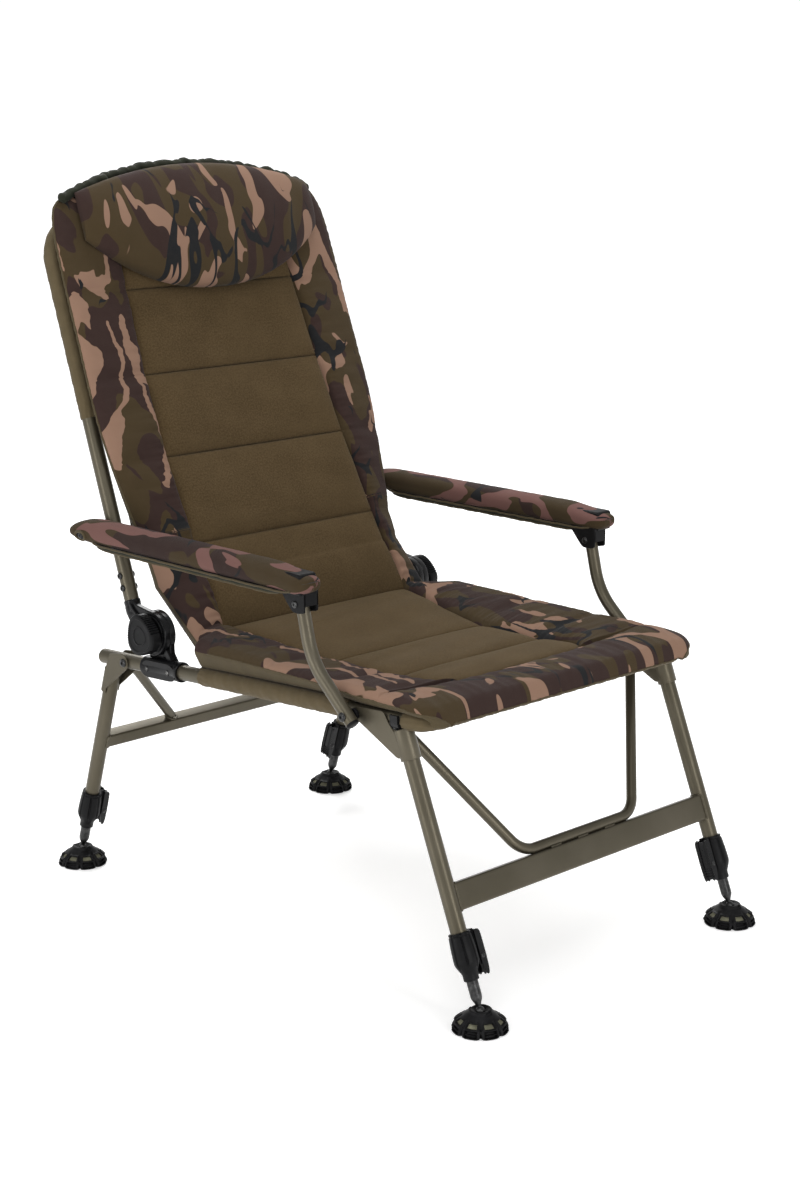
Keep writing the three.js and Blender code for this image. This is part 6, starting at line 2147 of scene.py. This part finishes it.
    def inner_leg(self, ball: Place) -> None:
        """Makes the sliding inner leg with its neck and ball."""
        shell = Shell(ball, self.side)
        angle = np.linspace(0.15, np.pi - 0.46, 14)
        below = [(self.ball * math.sin(a), -self.ball * math.cos(a)) for a in angle]
        shell.lathe([*below, *self.rod], Look.BOLT, (RAIL, 0, 0), sides=36)
        self._dress(shell, "inner_leg", f"{self.name}_inner_leg")

    def foot(self, ball: Place) -> None:
        """Makes the mud foot: eight petals with windows and ribs, and a notched hub round the ball.

        Its surface is the dome's profile, sunk or raised by smooth masks of the place across a
        petal, which is 0 in its middle and 1 in the valley beside it, and of the height.
        """
        angle = 2 * np.pi * np.arange(self.sides) / self.sides
        u = np.abs((angle * self.petals / (2 * np.pi)) % 1 - 0.5)[None] * 2
        marks = np.array(self.dome, float)
        along = np.linspace(0, len(marks) - 1, 97)
        radius, h = [np.interp(along, np.arange(len(marks)), column) for column in marks.T]
        radius, h = radius[:, None], h[:, None]
        petal = radius > 19
        window = np.clip((0.6 - u) / 0.06, 0, 1) * band(h, 13.6, 19.2, 0.6) * petal
        rim = np.clip((0.8 - u) / 0.08, 0, 1) * band(h, 11.6, 21.4, 1.0) * petal - window
        bay = np.clip((0.66 - u) / 0.06, 0, 1) * band(h, 2.2, 11.8, 0.7)
        bay = bay * (1 - 0.65 * band(h, 6.0, 8.2, 0.5))
        leg = np.clip(1 - np.abs(u - 0.74 - 0.026 * h) / 0.08, 0, 1) * (h < 11)
        arm = np.clip(1 - np.abs(u - 1.0 + 0.075 * (h - 11)) / 0.08, 0, 1) * (h >= 11) * (h < 15.5)
        cleft = np.clip((u - 0.82 - 0.026 * h) / 0.06, 0, 1) * (h < 8)
        sunk = 3.2 * window + 5.4 * bay + 3.8 * cleft - 0.9 * rim - 1.3 * (leg + arm) * petal
        valley = np.clip((u - 0.45) / 0.55, 0, 1) ** 2
        scallop = 5 * np.clip((radius - 22) / 19, 0, 1) * valley
        notch = np.clip((0.34 - np.abs(angle % np.pi - np.pi / 2)) / 0.05, 0, 1)[None]
        hub = (radius > 14) & (radius < 19) & (h > 26)
        r = radius - scallop - sunk
        z = np.maximum(h - 0.35 * sunk, 0) - self.sole - 3.0 * notch * hub
        shell = Shell(ball, self.side)
        points = np.stack([RAIL + r * np.cos(angle), r * np.sin(angle), z], axis=-1)
        shell.grid(points, Look.SATIN)
        shell.finishes.append(Look.INSERT)
        tint = window > 0.6
        both = tint[:-1] & tint[1:] & np.roll(tint[:-1], -1, axis=1)
        shell.slots[: both.size] = both.ravel().astype(int).tolist()
        self._dress(shell, "foot", f"{self.name}_foot", 32)


# Studio


@dataclass(frozen=True)
class Lamp:
    """A rectangular area light that points at the chair's middle."""

    name: str
    place: Triple
    power: float
    size: Pair

    def build(self, target: Triple) -> None:
        """Adds the lamp, turned so that its -Z points at the target."""
        light = bpy.data.lights.new(self.name, "AREA")
        light.energy = self.power
        light.shape = "RECTANGLE"
        light.size, light.size_y = self.size
        lamp = bpy.data.objects.new(self.name, light)
        lamp.location = self.place
        x, y, z = np.array(target) - np.array(self.place)
        tilt, turn = math.atan2(math.hypot(x, y), -z), math.atan2(y, x) - math.pi / 2
        lamp.rotation_euler = (tilt, 0.0, turn)
        bpy.context.scene.collection.objects.link(lamp)


@dataclass(frozen=True)
class Studio:
    """The floor, the lamps, the sky and the camera at the photo's view."""

    floor: float = 400.0
    floor_grey: float = 0.86
    glow: Pair = (0.34, 0.62)
    glow_reach: Pair = (0.7, 4.5)
    sky: Pair = (1.02, 0.62)
    sky_reach: Pair = (0.06, 0.45)
    target: Triple = (0.0, 0.0, 0.55)
    lamps: tuple[Lamp, ...] = (
        Lamp("key", (-2.6, -2.0, 3.6), 42, (2.0, 2.0)),
        Lamp("top", (0.2, 0.7, 3.2), 46, (1.3, 1.3)),
        Lamp("left_strip", (-2.5, 0.2, 0.7), 16, (0.3, 1.7)),
        Lamp("front_strip", (-0.5, -3.3, 0.8), 27, (0.4, 1.7)),
        Lamp("back", (1.6, 2.8, 2.8), 60, (1.6, 1.6)),
    )
    lens: float = 65.77
    sensor: float = 36.0
    viewpoint: Triple = (-2.3439, -2.4218, 1.3023)
    down: float = 13.573
    round: float = -44.333

    def build(self) -> None:
        """Adds all of it to the scene."""
        scene = bpy.context.scene
        self._floor()
        scene.world = self._sky()
        for lamp in self.lamps:
            lamp.build(self.target)
        camera = bpy.data.cameras.new("camera")
        camera.lens, camera.sensor_width = self.lens, self.sensor
        viewer = bpy.data.objects.new("camera", camera)
        viewer.location = self.viewpoint
        viewer.rotation_euler = (math.radians(90 - self.down), 0, math.radians(self.round))
        scene.collection.objects.link(viewer)
        scene.camera = viewer
        scene.view_settings.view_transform = "Standard"

    def _floor(self) -> None:
        """Adds the floor, whose own light hides the horizon."""
        mesh, size = bpy.data.meshes.new("floor"), self.floor
        corners = [(-size, -size, 0), (size, -size, 0), (size, size, 0), (-size, size, 0)]
        mesh.from_pydata(corners, [], [(0, 1, 2, 3)])
        graph = Graph("floor")
        inputs = {0: graph.place()}
        away = graph.add("ShaderNodeVectorMath", inputs, output="Value", operation="LENGTH")
        near, far = [(grey,) * 3 for grey in self.glow]
        graph.set(
            Base_Color=(self.floor_grey,) * 3, Roughness=0.7,
            Emission_Color=graph.mix(away.step(*self.glow_reach), near, far), Emission_Strength=1.0,
        )
        mesh.materials.append(graph.material)
        floor = bpy.data.objects.new("floor", mesh)
        bpy.context.scene.collection.objects.link(floor)
        floor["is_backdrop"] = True

    def _sky(self) -> bpy.types.World:
        """Makes a sky whose brightness falls with height."""
        world = bpy.data.worlds.new("studio")
        world.use_nodes = True
        tree = world.node_tree
        source = tree.nodes.new("ShaderNodeTexCoord")
        parts = tree.nodes.new("ShaderNodeSeparateXYZ")
        tree.links.new(source.outputs["Generated"], parts.inputs[0])
        fall = tree.nodes.new("ShaderNodeMapRange")
        names = ("From Min", "From Max", "To Min", "To Max")
        for name, value in zip(names, (*self.sky_reach, *self.sky)):
            fall.inputs[name].default_value = value
        tree.links.new(parts.outputs["Z"], fall.inputs["Value"])
        background = tree.nodes["Background"]
        background.inputs["Color"].default_value = (1, 1, 1, 1)
        tree.links.new(fall.outputs[0], background.inputs["Strength"])
        return world


def main() -> None:
    """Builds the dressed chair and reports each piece."""
    logging.basicConfig(level=logging.INFO, format="%(name)s: %(message)s")
    Studio().build()
    for cushion in (SeatCushion(), HipCushion(), BackCushion(), Pillow()):
        cushion.build()
    Slings().seat()
    Slings().back()
    Frames().build()
    for side, word in SIDES:
        ReclineHinge(side, word).build()
        Armrest(side, word).build()
        for bolt in BOLTS:
            bolt.build(side, word)
    FrontLegs().build()
    RearLegs().build()
    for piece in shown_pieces():
        LOG.info("%s: %d faces", piece.name, len(piece.data.polygons))


if __name__ == "__main__":
    main()
